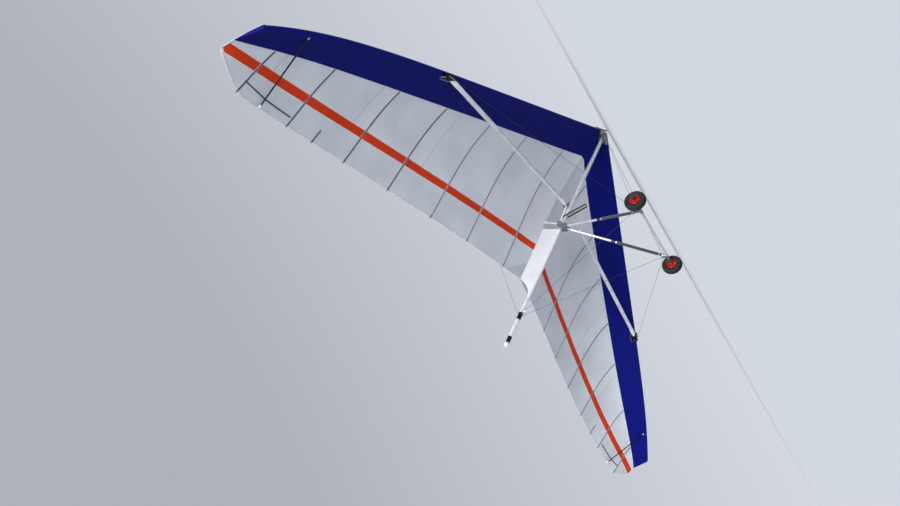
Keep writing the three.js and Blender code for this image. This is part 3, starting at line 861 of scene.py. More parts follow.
# 6061 aluminium tube, satin anodised: soft long highlights, and an oxide film that scatters
# part of the light and so turns the tube white in the sun
ANODISED = Metal("satin_anodised_tube", "#E6E8EB", 0.4, Slot.TUBE, metallic=0.7, grain_mm=2.0,
                 stretch=12.0)
# Machined and blasted aluminium fittings
BLASTED = Metal("blasted_aluminium_fitting", "#9DA1A6", 0.42, grain_mm=1.2)
# Stainless steel bolts, thimbles and swages
STAINLESS = Metal("stainless_steel", "#B7B9BB", 0.25, grain_mm=1.5)
# Black anodised aluminium clamps and bands
BLACK_ALLOY = Metal("black_anodised_aluminium", "#25262A", 0.38, Slot.BLACK_ALLOY, grain_mm=1.5)
# Coated stays, dark grey
STAY = Stranded("coated_stranded_stay", "#34363B", 0.4, metallic=0.6)
# Polyester luff cord, pale
CORD = Stranded("braided_polyester_cord", "#D8D9D6", 0.75, lay_mm=8.0)
# Padded nylon sleeve
PADDING = Woven("padded_nylon_sleeve", "#3A3D42", 0.9, Slot.PADDING, thread_mm=3.5)
# Nylon webbing, black and white
WEBBING = Woven("black_nylon_webbing", "#17181B", 0.8, thread_mm=2.5)
WHITE_WEBBING = Woven("white_nylon_webbing", "#E6E6E2", 0.8, thread_mm=2.5)
# Natural rubber, vulcanised
TYRE_RUBBER = Moulded("vulcanised_rubber_tyre", "#17181A", 0.72, Slot.TYRE, grain_mm=1.6,
                      depth_mm=0.25)
# Soft rubber, moulded
SOFT_RUBBER = Moulded("moulded_soft_rubber", "#2E2F31", 0.8, grain_mm=1.2, depth_mm=0.15)
# Polypropylene, red, glossy from the mould
RED_PLASTIC = Moulded("moulded_polypropylene_red", "#C3160F", 0.32, Slot.RED_PLASTIC,
                      grain_mm=2.5, depth_mm=0.05, scuff=0.12)
# Acetal, black
BLACK_PLASTIC = Moulded("moulded_acetal_black", "#1B1C1E", 0.45, depth_mm=0.05)
# Polyethylene end cap, off-white
PALE_PLASTIC = Moulded("moulded_polyethylene_pale", "#DCDDD8", 0.5, Slot.END_CAP, depth_mm=0.05,
                       scuff=0.08)
# Vinyl tape, blue-black, wound on the tube
TAPE = Moulded("wound_vinyl_tape", "#14182B", 0.35, Slot.BLACK_ALLOY, grain_mm=4.0)


def dress(name: str, shape: Shape, finish: Finish, *nodes: str, slot: Slot | None = None,
          bodies: tuple = (Body.FRAME, Body.FRAME), crease: float = 35.0) -> list:
    """Makes a piece of the glider, or one on each side from a shape and its mirror image.

    Args:
        name: the piece's name; with a star in it there are two.
        shape: its surface in the glider's frame, or the left one's.
        finish: its finish.
        nodes: the frame's nodes that it stands for.
        slot: the record's slot, where it isn't the finish's own; not used.
        bodies: what the left and the right one ride on.
        crease: edges sharper than this angle, in degrees, stay crisp.
    Returns:
        The pieces.
    """
    pieces = []
    forms = (shape, shape.mirrored()) if "*" in name else (shape,)
    for side, body, form in zip(Side, bodies, forms):
        own, *stands_for = [word.replace("*", side.value) for word in (name, *nodes)]
        mesh = skin(own, PLACE.to_row(form.points), form)
        mesh.polygons.foreach_set("use_smooth", np.ones(len(mesh.polygons), bool))
        mesh.set_sharp_from_angle(angle=math.radians(crease))
        mesh.materials.append(finish.material())
        mesh.update()
        piece = linked(own, mesh)
        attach(piece, body.value)
        if stands_for:
            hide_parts(*stands_for)
        LOG.info("%s: %d faces, %s", own, len(mesh.polygons), finish.name)
        pieces.append(piece)
    return pieces


def hex_bolt(place: Array, way: Array, size: float = 10.0, height: float = 5.5) -> Shape:
    """A hexagon bolt head on a washer: six-sided rings on a round disc.

    Args:
        place: the washer's middle.
        way: out of the surface.
        size: the washer's width over 1.8.
        height: of the head.
    Returns:
        The bolt's outer end.
    """
    under, top = 1.5, 1.5 + height
    washer = [(0, size * 0.9), (1.2, size * 0.9), (under, size * 0.85)]
    head = [(under, size * 0.56), (under + height * 0.85, size * 0.56), (top, size * 0.48)]
    thread = [(top, size * 0.28), (top + 2, size * 0.25)]
    return joined(turned(washer, place, way, 20), turned(head, place, way, 6),
                  turned(thread, place, way, 14))


# The wing's lines and surface

@dataclass(frozen=True)
class Wing:
    """The wing's lines as functions of the distance x out from the keel, in millimetres.

    trailing and stripe_line hold the constant, linear and square term of a curve's run aft.
    heights holds the trailing edge's height at the root, its rise and the billow, arch the
    front and rear share of the chord, and band_widths the width, what the root adds and what
    the tip takes off.
    """

    half_span: float = 5020.0
    radius: float = KEEL_RADIUS
    setback: float = 33.0
    sweep: float = 0.552
    dihedral: float = 0.012
    bend_rise: float = 210.0
    bend_power: float = 8.5
    trailing: tuple = (2510.0, 0.13, 16e-6)
    tip_start: float = 4600.0
    tip_run: float = 500.0
    tip_drop: float = 279.0
    tip_flare: float = 80.0
    heights: tuple = (250.0, 60.0, 1200.0)
    arch: tuple = (0.55, 0.17)
    root_loss: float = 0.45
    root_fade: float = 450.0
    wrap_gap: float = 3.7
    wrap_end: float = 1.19 * math.pi
    nose_start: float = 135.0
    nose_fraction: float = 0.09
    stripe_line: tuple = (2000.0, 0.175, 16e-6)
    stripe_half: float = 52.0
    stripe_end: float = 0.965
    band_widths: tuple = (332.0, 112.0, 115.0)
    band_margin: float = 0.03
    ease: float = 1.5

    def axis_y(self, x: Array) -> Array:
        """How far aft the leading-edge tube's axis is: straight sweep plus a late bend."""
        late = (np.maximum(x, 0) / self.half_span) ** self.bend_power
        return self.setback + self.sweep * x + self.bend_rise * late

    def axis_slope(self, x: Array) -> Array:
        """The axis's run aft for each millimetre outwards."""
        late = (np.maximum(x, 0) / self.half_span) ** (self.bend_power - 1)
        return self.sweep + self.bend_rise * self.bend_power / self.half_span * late

    def axis(self, x: Array) -> Array:
        """The axis's points."""
        x = np.asarray(x, float)
        return np.stack([x, self.axis_y(x), self.dihedral * x], -1)

    def ellipse(self, x: Array) -> tuple:
        """Half sizes of the wrap's ellipse in a fore-and-aft cut: its run aft and height."""
        height = self.radius + self.wrap_gap
        return height * np.hypot(1, self.axis_slope(x)), height

    def on_tube(self, x: Array, angle: Array) -> Array:
        """Places on the wrap's ellipse: run cos a aft of the axis and height sin a above.

        Args:
            x: distance out from the keel.
            angle: nought aft of the tube, a quarter turn above it.
        Returns:
            Places in the glider's frame.
        """
        run, height = self.ellipse(x)
        return np.stack([x, self.axis_y(x) + run * np.cos(angle),
                         self.dihedral * x + height * np.sin(angle)], -1)

    def section(self, x: Array) -> dict:
        """One chordwise section: leaving angle, end points, share of the full arch, and chord.

        The trailing edge is a gentle curve aft that turns in at the tip, and is highest at mid
        span, where the cloth billows.

        Args:
            x: distance out from the keel.
        Returns:
            Its numbers by name.
        """
        part = x / self.half_span
        end_x = x + self.tip_flare * part ** 12
        root, linear_part, square = self.trailing
        drop = self.tip_drop * (np.maximum(0, end_x - self.tip_start) / self.tip_run) ** 1.5
        end_y = root + linear_part * end_x + square * end_x * end_x - drop
        low, rise, billow = self.heights
        end_z = low + rise * part + billow * part ** 1.5 * np.maximum(0, 1 - part)
        full = 1 - self.root_loss * np.exp(-x / self.root_fade)
        slope = ((end_z - self.dihedral * x) / (end_y - self.axis_y(x)) + self.arch[0] * full)
        run, height = self.ellipse(x)
        leave = math.pi / 2 + np.arctan(slope * run / height)
        start = self.on_tube(x, leave)
        return {"leave": leave, "start": start, "end": np.stack([end_x, end_y, end_z], -1),
                "full": full, "chord": end_y - start[..., 1]}

    def surface(self, x: Array, t: Array) -> Array:
        """The cloth's middle surface.

        For t from -1 to 0 it goes round the tube on an ellipse. For t from 0 to 1 it is the
        straight line from there to the trailing edge, plus an arch of a front term
        t (1 - t)^2 and a rear term t^2 (1 - t).

        Args:
            x: distance out from the keel, in millimetres.
            t: fraction of the chord.
        Returns:
            Places in the glider's frame.
        """
        x, t = np.broadcast_arrays(np.asarray(x, float), np.asarray(t, float))
        cut = self.section(x)
        wrap = self.on_tube(x, cut["leave"] + (self.wrap_end - cut["leave"]) * np.clip(-t, 0, 1))
        after = np.clip(t, 0, 1)
        front, rear = self.arch
        arch = cut["chord"] * cut["full"] * (front * after * (1 - after) ** 2
                                             + rear * after ** 2 * (1 - after))
        straight = cut["start"] + (cut["end"] - cut["start"]) * after[..., None]
        return np.where((t < 0)[..., None], wrap, straight + arch[..., None] * Z)

    def fraction(self, x: Array, y: Array) -> Array:
        """The chord fraction at a place of the plan."""
        cut = self.section(np.asarray(x, float))
        return (y - cut["start"][..., 1]) / cut["chord"]

    def stripe(self, x: Array) -> tuple:
        """The stripe: one width on both sides of a gentle curve of the plan.

        Args:
            x: distance out from the keel.
        Returns:
            Chord fractions of its front and rear edge.
        """
        root, linear_part, square = self.stripe_line
        middle = self.fraction(x, root + linear_part * x + square * x * x)
        half = self.stripe_half / self.section(x)["chord"]
        return middle - half, np.minimum(middle + half, self.stripe_end)

    def band(self, x: Array) -> Array:
        """The band's rear edge: its width falls off from the root, and again at the tip.

        Args:
            x: distance out from the keel.
        Returns:
            Its chord fraction.
        """
        part = x / self.half_span
        width, root_extra, tip_loss = self.band_widths
        width = width + root_extra * (1 - part) ** 2 - tip_loss * part ** 6
        return np.minimum(width / self.section(x)["chord"], self.stripe(x)[0] - self.band_margin)

    def outwards(self, u: Array, inner: Array) -> Array:
        """Distance out at column u, from an inner edge to the tip, and dense towards the tip."""
        return inner + (self.half_span - inner) * (1 - (1 - u) ** self.ease)

    def span(self, u: Array, t: Array) -> Array:
        """Distance out at column u and fraction t, clear of the nose plates."""
        near = smooth(np.asarray(t, float) / self.nose_fraction)
        return self.outwards(u, self.nose_start * (1 - near) + near)

    def normal(self, x: Array, t: Array) -> Array:
        """The cloth's upward normal, from small steps out and aft.

        Args:
            x: distance out from the keel.
            t: fraction of the chord.
        Returns:
            Unit vectors.
        """
        out = self.surface(x + 1.0, t) - self.surface(x - 1.0, t)
        aft = self.surface(x, np.minimum(t + 1e-3, 1)) - self.surface(x, t - 1e-3)
        return unit(np.cross(out, aft))


WING = Wing()


@dataclass
class Sail:
    """The sail: four panels a side, battens in their pockets, piping, hems and the middle.

    The trims' outlines are (width, height, points). tip_loop is how far aft a loop's middle
    lies, its half length and its half width. pocket_ripple is a depth and a number of waves,
    and cone_rear a share of the chord and what its corners lose.
    """

    wing: Wing = WING
    battens: tuple = (400.0, 1140.0, 1800.0, 2530.0, 3220.0, 4040.0, 4680.0)
    stub_x: float = 3690.0
    pale_until: float = 2000.0
    cloth: float = 1.2
    columns: int = 150
    billow: float = 7.0
    batten: tuple = (17.0, 2.6, 12)
    welt: tuple = (30.0, 7.0, 14)
    tip_batten: tuple = (15.0, 3.0, 10)
    tip_loop: tuple = (4.0, 14.0, 13.0)
    tip_cord: tuple = (2.6, 2.6, 8)
    hem: tuple = (16.0, 3.2, 10)
    tip_hem: tuple = (4.0, 14.0, 10)
    seam_tape: tuple = (11.0, 1.2, 8)
    bead: tuple = (9.0, 4.4, 10)
    rim: tuple = (5.0, 3.0, 8)
    cone_hem: tuple = (7.0, 3.0, 8)
    post_hole: float = 20.0
    stay_hole: float = 7.0
    strip_above: float = 34.0
    strip_shift: tuple = (2.0, -0.6, 1.3)
    tip_profile: tuple = ((-14, 5.5), (-12, 6.5), (8, 6.5), (12, 5.0), (26, 4.4), (29, 3.0))
    band_inner: float = 34.0
    band_below: float = 0.9
    tube_share: float = 0.4
    tip_line: tuple = ((4690.0, 3340.0), (4400.0, 3300.0), (4070.0, 3220.0))
    pocket_front: float = 1700.0
    pocket_low_rear: float = 2760.0
    pocket_top_rear: float = 2505.0
    pocket_below: float = 3.4
    pocket_gap: float = 3.1
    pocket_seam: float = 2.4
    pocket_ripple: tuple = (2.2, 3.0)
    gusset: tuple = (6.0, 330.0)
    cone_half: float = 235.0
    cone_lift: float = 12.0
    cone_rear: tuple = (0.13, 0.55)

    def hang(self, name: str, shape: Shape, finish: Finish, flat: tuple, area: float,
             rests_on: tuple, *nodes: str) -> None:
        """Dresses a taut piece of cloth.

        Args:
            name: the piece's name.
            shape: its closed sheet.
            finish: its finish.
            flat: its flat size, in metres; not used.
            area: its flat area, in square metres; not used.
            rests_on: the nodes that hold it; not used.
            nodes: the nodes that it stands for.
        """
        for piece in dress(name, shape, finish, *nodes, crease=60):
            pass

    def relief(self, x: Array, t: Array) -> Array:
        """How far the cloth stands up between battens: a half wave from one to the next.

        Args:
            x: distance out from the keel.
            t: fraction of the chord.
        Returns:
            Heights in millimetres.
        """
        stops = vec(0.0, *self.battens, self.wing.half_span + 60.0)
        place = np.clip(np.searchsorted(stops, x, side="right") - 1, 0, len(stops) - 2)
        part = np.clip((x - stops[place]) / (stops[place + 1] - stops[place]), 0, 1)
        fore_and_aft = np.clip(t, 0, 1) * np.clip(2.2 - 1.4 * t, 0, 1)
        return self.billow * np.sin(math.pi * part) * fore_and_aft

    def panel(self, rows: Array) -> Shape:
        """A panel of the surface, with its relief.

        Args:
            rows: chord fractions, a row for each line along the span.
        Returns:
            The panel.
        """
        x = self.wing.span(np.linspace(0, 1, self.columns)[None], rows)
        lift = self.relief(x, rows) * (rows > 0)
        normal = self.wing.normal(x, np.clip(rows, 0.002, 0.998))
        return sheet(self.wing.surface(x, rows) + normal * lift[..., None], self.cloth)

    def build_panels(self) -> None:
        """The main panel with its wrap, the stripe and the trailing panel, left and right.

        The main panel has a hole for the kingpost and one for the upper side stay.
        """
        rig = Rigging()
        holes = (rod(rig.post_at(0), rig.post_at(800.0), self.post_hole),
                 rod(*rig.upper_side_ends(), self.stay_hole, 16))
        x = self.wing.span(np.linspace(0, 1, self.columns), 0.5)
        front, rear = self.wing.stripe(x)
        edge = self.wing.band(x)
        lead = np.zeros_like(x)
        main = np.concatenate([np.linspace(lead - 1, lead, 18)[:-1],
                               np.linspace(lead, edge, 14)[:-1], np.linspace(edge, front, 40)])
        for name, shape, finish, flat, area in (
                ("main", carved(self.panel(main), *holes), WHITE_CLOTH, (5.9, 2.05), 6.3),
                ("stripe", self.panel(np.linspace(front, rear, 6)), ORANGE_CLOTH, (5.4, 0.106),
                 0.55),
                ("trailing", self.panel(np.linspace(rear, lead + 1, 20)), TRAIL_CLOTH,
                 (5.2, 0.6), 1.74)):
            self.hang(f"{name}_panel_*", shape, finish, flat, area,
                      ("leading_edge_*", "keel_tube"), f"sail_{name}_*")

    def band_grid(self, rows: int) -> Array:
        """The band: round under the tube from where the main panel ends, then straight aft.

        It leaves the tube at the point whose tangent meets the edge, and the edge lies a cloth
        below the main panel.

        Args:
            rows: lines along the span.
        Returns:
            Rows by columns by 3.
        """
        wing = self.wing
        u = np.linspace(0, 1, self.columns)[None]
        v = np.linspace(0, 1, rows)[:, None]
        straight = np.clip((v - self.tube_share) / (1 - self.tube_share), 0, 1)
        outer, inner = wing.span(u, 0.0), wing.outwards(u, self.band_inner)
        x = outer + (inner - outer) * smooth(straight / 0.3)
        t = wing.band(x)
        edge = wing.surface(x, t) - wing.normal(x, t) * (self.cloth + self.band_below)
        run, height = wing.ellipse(x)
        slant = wing.axis_slope(x) * (edge[..., 0] - x)
        reach_y = (edge[..., 1] - wing.axis_y(x) - slant) / run
        reach_z = (edge[..., 2] - wing.dihedral * x) / height
        last = TAU + np.arctan2(reach_z, reach_y) - np.arccos(1 / np.hypot(reach_y, reach_z))
        first = wing.wrap_end + 0.06
        tube = wing.on_tube(x, first + (last - first) * np.minimum(1, v / self.tube_share))
        return tube + (edge - tube) * straight[..., None]

    def build_band(self) -> None:
        """The navy band, cut open round the crossbar's end, with white piping on both edges.

        A strip over the keel joins both bands: the band's inner edge, drawn across. Each wing's
        end is closed between the band and the main panel, by rows that lie evenly between
        those two edges.
        """
        wing = self.wing
        grid = self.band_grid(26)
        line = grid[:, 0][grid[:, 0, 2] > self.strip_above] + self.strip_shift
        strip = line[:, None] * (np.linspace(-1, 1, 9)[:, None] * X + Y + Z)
        length = float(np.linalg.norm(line[-1] - line[0])) * MM
        self.hang("band_middle", sheet(strip, self.cloth), NAVY_CLOTH, (length, 0.072),
                  0.98 * length * 0.072, ("sail_band_L", "sail_band_R"))
        band = carved(sheet(grid, self.cloth), *Spars().openings())
        self.hang("band_panel_*", band, NAVY_CLOTH, (5.9, 0.5), 2.5, ("leading_edge_*",),
                  "sail_band_*")
        tip = wing.half_span
        over = wing.surface(tip, np.linspace(-1.0, float(wing.band(vec(tip))[0]), 80))
        low, high = evenly(grid[:, -1], 60), evenly(over, 60)
        closing = low + (high - low) * np.linspace(0, 1, 7)[:, None, None] + 0.9 * X
        self.hang("tip_closing_*", sheet(closing, self.cloth, closing[..., 1:] * MM), NAVY_CLOTH,
                  (0.38, 0.06), 0.0144, ("leading_edge_*",))
        x = grid[-1, :, 0]
        bead = swept(grid[-1] - wing.normal(x, wing.band(x)) * 0.8, oval(*self.bead), Z)
        rim = swept(grid[0], oval(*self.rim), Z)
        dress("band_piping_*", joined(bead, rim), PIPING)

    def build_battens(self) -> None:
        """Pockets seen from below, raised welts above, and black tips past the hem.

        A loop of shock cord holds each tip to the hem. The stub batten lies in the rear half of
        the trailing panel only.
        """
        dark, pale, above, tips = [], [], [], []
        middle, length, width = self.tip_loop
        for x in self.battens + (self.stub_x,):
            front = float(self.wing.band(vec(x))[0]) * 0.35
            if x == self.stub_x:
                front = (1.0 + float(self.wing.stripe(vec(x))[1][0])) / 2
            t = np.linspace(front, 0.995, 60)
            path, normal = self.wing.surface(x, t), self.wing.normal(x, t)
            below = pale if x < self.pale_until else dark
            below.append(swept(path - normal * 1.3, oval(*self.batten), normal))
            above.append(swept(path + normal * 1.6, oval(*self.welt), normal))
            end, up, past = path[-1], normal[-1], unit(path[-1] - path[-2])
            angle = circle(28)[:, None]
            loop = (end + past * (middle + length * np.cos(angle))
                    + unit(np.cross(up, past)) * width * np.sin(angle) + up * 2.0)
            tips += [turned(self.tip_profile, end, past, 14),
                     swept(loop, oval(*self.tip_cord), up, closed=True)]
        # The pockets below are coloured as painted shade: dark outboard of pale_until, paler
        # inboard
        dress("batten_pockets_under_*", joined(*dark), POCKET_SHADE_CLOTH)
        dress("batten_pockets_inner_*", joined(*pale), PALE_POCKET_SHADE_CLOTH)
        dress("batten_welts_top_*", joined(*above), WHITE_CLOTH)
        dress("batten_tips_*", joined(*tips), BLACK_PLASTIC)

    def build_hems(self) -> None:
        """Folded tape along the trailing edge and the tip, and seam tapes beside the stripe."""
        wing = self.wing
        x = wing.span(np.linspace(0.0, 1, 120), 0.5)
        shapes = [swept(wing.surface(x, 1.0) + Y, oval(*self.hem),
                        wing.normal(x, 0 * x + 0.995))]
        t = np.concatenate([np.linspace(-0.9, 0.0, 18)[:-1], np.linspace(0.0, 1.0, 36)])
        shapes.append(swept(wing.surface(wing.half_span, t) + 2.0 * X, oval(*self.tip_hem), X))
        for edge in wing.stripe(x):
            normal = wing.normal(x, edge)
            path = wing.surface(x, edge) + normal * (self.relief(x, edge)[:, None] - 0.7)
            shapes.append(swept(path, oval(*self.seam_tape), normal))
        dress("sail_hems_*", joined(*shapes), PIPING)

    def build_tip_battens(self) -> None:
        """The pair of short battens that run across the tip, under the cloth."""
        shapes = []
        for (x0, y0), (x1, y1) in zip(self.tip_line, self.tip_line[1:]):
            x, y = np.linspace(x0, x1, 16), np.linspace(y0, y1, 16)
            t = self.wing.fraction(x, y)
            normal = self.wing.normal(x, t)
            path = self.wing.surface(x, t) - normal * 2.4
            shapes.append(swept(path, oval(*self.tip_batten), normal))
        # The tip battens' pockets take the same dark painted shade as the batten pockets
        dress("tip_batten_pockets_*", joined(*shapes), POCKET_SHADE_CLOTH)

    def build_pocket(self) -> None:
        """The keel pocket, and its reinforcing gussets at the trailing edge.

        Up to half the way round, the pocket is a half circle under the keel. From there each
        wall rises straight to the sail's middle seam, drawn in by a smooth step and rippled.
        """
        v = np.linspace(0, 1, 61)[:, None]
        u = np.linspace(0, 1, 70)[None]
        around = 2 * v - 1
        reach, side = np.abs(around), np.sign(around)
        low, seam = KEEL_RADIUS + self.pocket_gap, self.pocket_seam
        rise = np.clip((reach - 0.5) / 0.5, 0, 1)
        rear = self.pocket_low_rear + (self.pocket_top_rear - self.pocket_low_rear) * rise ** 0.5
        y = self.pocket_front + (rear - self.pocket_front) * u
        t = self.wing.fraction(0.3 + 0 * y, np.minimum(y, self.pocket_top_rear))
        top = self.wing.surface(0.3 + 0 * y, t)[..., 2] - self.pocket_below
        angle = -math.pi / 2 + side * math.pi * reach
        half = low + (seam - low) * smooth((rise - 0.06) / 0.64)
        inside = reach < 0.5
        deep, often = self.pocket_ripple
        ripple = deep * np.sin(TAU * u * often + 2.0 * rise) * rise * (1 - rise) * 4
        ripple = ripple * (1 - inside)
        x = np.where(inside, low * np.cos(angle), side * half) + side * np.abs(ripple) * 0.5
        z = np.where(inside, low * np.sin(angle), top * rise)
        grid = np.stack(np.broadcast_arrays(x, y, z), -1)
        height = np.cumsum(np.linalg.norm(np.diff(grid, axis=0, prepend=grid[:1]), axis=2), 0)
        uv = np.stack([grid[..., 1], height], -1) * MM
        self.hang("keel_pocket_cloth", sheet(grid[:, ::-1], self.cloth, uv[:, ::-1]),
                  POCKET_WHITE, (1.06, 0.57), 0.55, ("keel_tube", "sail_main_L"), "keel_pocket")
        inner, outer = self.gusset
        x = np.linspace(inner, outer, 20)
        front = 1.0 - 0.10 * (1 - (x - inner) / (outer - inner))
        t = np.linspace(front, 0 * front + 0.992, 12)
        patch = self.wing.surface(x, t) - self.wing.normal(x, t) * 1.5
        dress("root_gusset_*", sheet(patch, 0.9), TRAIL_CLOTH)

    def build_nose_cone(self) -> None:
        """The fabric cone over the nose plates, with a hem all round."""
        x = np.linspace(-self.cone_half, self.cone_half, 61)
        out = np.hypot(x, KEEL_RADIUS)
        raised = Wing(wrap_gap=self.wing.wrap_gap + self.cone_lift)
        leave = raised.section(out)["leave"]
        lowest = -(1.1 * math.pi - leave) / (raised.wrap_end - leave)
        rear, corner_loss = self.cone_rear
        t = np.linspace(lowest, rear * (1 - corner_loss * (x / self.cone_half) ** 2), 40)
        grid = raised.surface(out, t) + self.cone_lift * (t > 0)[..., None] * Z
        grid[..., 0] = x
        keel = rod(-100.0 * Y, 60.0 * Y, KEEL_RADIUS + 0.6, 48)
        stay = rod(*Rigging().upper_front_ends(), 6.0, 20)
        self.hang("nose_cone_cloth", carved(sheet(grid, self.cloth), keel, stay), NAVY_CLOTH,
                  (0.47, 0.5), 0.175, ("sail_main_L", "sail_main_R"), "nose_cone")
        edge = np.concatenate([grid[-1, ::-1], grid[::-1, 0][1:], grid[0, 1:], grid[1:-1, -1]])
        hem = swept(edge, oval(*self.cone_hem), vec(0, 0.3, 1), closed=True)
        dress("nose_cone_hem", hem, WEBBING, slot=Slot.NAVY_CLOTH)

    def build(self) -> None:
        """All of the sail."""
        self.build_panels()
        self.build_band()
        self.build_battens()
        self.build_hems()
        self.build_tip_battens()
        self.build_pocket()
        self.build_nose_cone()


@dataclass
class Spars:
    """Leading-edge tubes, crossbar, its hinge and brackets, and the washout struts.

    Plates are (length, height, corner radius), and bands are (start, end, inner, outer).
    bolts_at is how far the bracket's bolts lie along, across and up, and bar_opening how far
    the crossbar's opening runs in and out, and how much wider it is.
    """

    wing: Wing = WING
    crossbar: float = 27.5
    hinge_y: float = 1300.0
    hinge_z: float = 58.3
    crossbar_drop: float = 34.0
    stop_short: float = 118.0
    bracket_at: tuple = (-62.0, 29.5, -22.0)
    cheek_out: float = 26.8
    strut_x: float = 4600.0
    strut_foot: tuple = (4410.0, 3405.0)
    strut_drops: tuple = (6.0, 13.5)
    strut_socket: tuple = (20.0, 60.0, 11.0)
    strut_radius: float = 8.0
    strut_clamp: tuple = (-17, 17, 26.0, 28.4, 1.0)
    strut_tip: tuple = ((-26, 9.0), (-24, 9.6), (0, 9.6), (6, 8.0), (8, 3.0))
    cap_profile: tuple = ((-24, 25.6), (-22, 26.4), (5, 26.4), (11, 23.0), (14, 15.0), (15, 2.0))
    hinge_plate: tuple = (124.0, 64.0, 14.0)
    hinge_heights: tuple = (27.3, 87.3)
    hinge_bolts: tuple = (-42, 0, 42)
    cheek: tuple = (149.0, 87.0, 16.0, 8)
    floor: tuple = (146.0, 50.0, 6.0)
    strap: tuple = (-20, 20, 26.4, 28.6)
    floor_drop: float = 41.0
    bolts_at: tuple = (45.0, 28.8, -12.0)
    opening: tuple = (168.0, 78.0, 16.0)
    opening_depth: float = 106.0
    bar_opening: tuple = (260.0, 80.0, 9.0)
    strut_opening: float = 10.5

    def crossbar_line(self) -> tuple:
        """The crossbar's line, from over the keel to short of the leading edge.

        Returns:
            Its inner end, its outer end and its way.
        """
        inner = vec(20.0, self.hinge_y, self.hinge_z)
        target = self.wing.axis(JUNCTION_X) - self.crossbar_drop * Z
        way = unit(target - inner)
        return inner, target - way * self.stop_short, way

    def build_leading_edges(self) -> None:
        """The swept tubes that bend aft near the tip, with their end caps."""
        x = np.concatenate([np.linspace(60.0, 3800.0, 30), np.linspace(3900.0, 4985.0, 30)])
        path = self.wing.axis(x)
        width = 2 * self.wing.radius
        dress("leading_edge_tube_*", swept(path, oval(width, width, 40), Z), ANODISED,
              "leading_edge_*")
        cap = turned(self.cap_profile, path[-1], path[-1] - path[-2], 36)
        dress("leading_edge_cap_*", cap, BLACK_PLASTIC)

    def build_crossbar(self) -> None:
        """The crossbar's two tubes, a light sleeve at each end, and the hinge over the keel."""
        inner, outer, way = self.crossbar_line()
        tube = pipe(inner, outer, self.crossbar, depth=40.0)
        dress("crossbar_tube_*", tube, ANODISED, "crossbar_*")
        sleeves = [turned([(0, 28.0), (0.5, 28.6), (length, 28.6), (length + 2, 27.9)], start,
                          way, 44)
                   for length, start in ((150, outer - way * 156.0), (120, inner + way * 62.0))]
        dress("crossbar_sleeves_*", joined(*sleeves), PALE_PLASTIC)
        middle = self.hinge_y * Y
        plates = [plate(rounded(*self.hinge_plate), middle + z * Z, X, Y, 3.9)
                  for z in self.hinge_heights]
        pin = rod(middle + 25.0 * Z, middle + 91.0 * Z, 7.5)
        dress("crossbar_hinge_plates", joined(*plates, pin), BLASTED, "crossbar_hinge")
        bolts = [hex_bolt(middle + vec(x, 0, 89.3), Z) for x in self.hinge_bolts]
        dress("crossbar_hinge_bolts", joined(*bolts), STAINLESS)

    def bracket_frame(self) -> tuple:
        """The junction bracket's own frame.

        Returns:
            Its middle, and its ways along and across the tube.
        """
        turn = math.atan(float(self.wing.axis_slope(JUNCTION_X)))
        along = vec(math.cos(turn), math.sin(turn), 0)
        across = np.cross(Z, along)
        a, b, c = self.bracket_at
        return self.wing.axis(JUNCTION_X) + a * along + b * across + c * Z, along, across

    def build_brackets(self) -> None:
        """A black channel under each leading edge, open towards the crossbar, and its bolts."""
        middle, along, across = self.bracket_frame()
        cheeks = [plate(rounded(*self.cheek), middle + across * d, along, Z, 4.0)
                  for d in (-self.cheek_out, self.cheek_out)]
        floor = plate(rounded(*self.floor), middle - self.floor_drop * Z, along, across, 4.0)
        strap = turned(hoop(*self.strap), self.wing.axis(JUNCTION_X), along, 40)
        dress("crossbar_channel_*", joined(*cheeks, floor, strap), BLACK_ALLOY,
              "crossbar_bracket_*")
        on, out, up = self.bolts_at
        bolts = [hex_bolt(middle + sign * across * out + along * a + up * Z, across * sign, 9.0)
                 for sign in (1, -1) for a in (-on, on)]
        dress("crossbar_channel_bolts_*", joined(*bolts), STAINLESS)

    def openings(self) -> tuple:
        """What opens the band.

        Returns:
            Solids round the bracket, along the crossbar's end and at the strut.
        """
        middle, along, across = self.bracket_frame()
        _, outer, way = self.crossbar_line()
        inwards, outwards, wider = self.bar_opening
        return (plate(rounded(*self.opening), middle, along, across, self.opening_depth, 2.0),
                rod(outer - way * inwards, outer + way * outwards, self.crossbar + wider, 40),
                rod(*self.strut_ends(), self.strut_opening, 24))

    def strut_ends(self) -> tuple:
        """The washout strut's line.

        Returns:
            Its ends, under the leading-edge tube and under the cloth.
        """
        x, y = self.strut_foot
        at_spar, at_foot = self.strut_drops
        foot = self.wing.surface(x, self.wing.fraction(x, y)) - at_foot * Z
        return self.wing.axis(self.strut_x) - at_spar * Z, foot

    def build_struts(self) -> None:
        """A slim tube from a pale clamp on the spar to the cloth's underside."""
        start, end = self.strut_ends()
        way = unit(end - start)
        tube = rod(start + way * 27.0, end, self.strut_radius, 24)
        dress("washout_strut_tube_*", tube, BLACK_ALLOY, "washout_strut_*")
        tip = turned(self.strut_tip, end, way, 24)
        axis = self.wing.axis(self.strut_x + 10.0) - self.wing.axis(self.strut_x - 10.0)
        clamp = turned(hoop(*self.strut_clamp), self.wing.axis(self.strut_x), axis, 36)
        first, last, radius = self.strut_socket
        socket = rod(start + way * first, start + way * last, radius, 24)
        dress("washout_fittings_*", joined(tip, clamp, socket), PALE_PLASTIC)

    def build(self) -> None:
        """All the spars."""
        self.build_leading_edges()
        self.build_crossbar()
        self.build_brackets()
        self.build_struts()


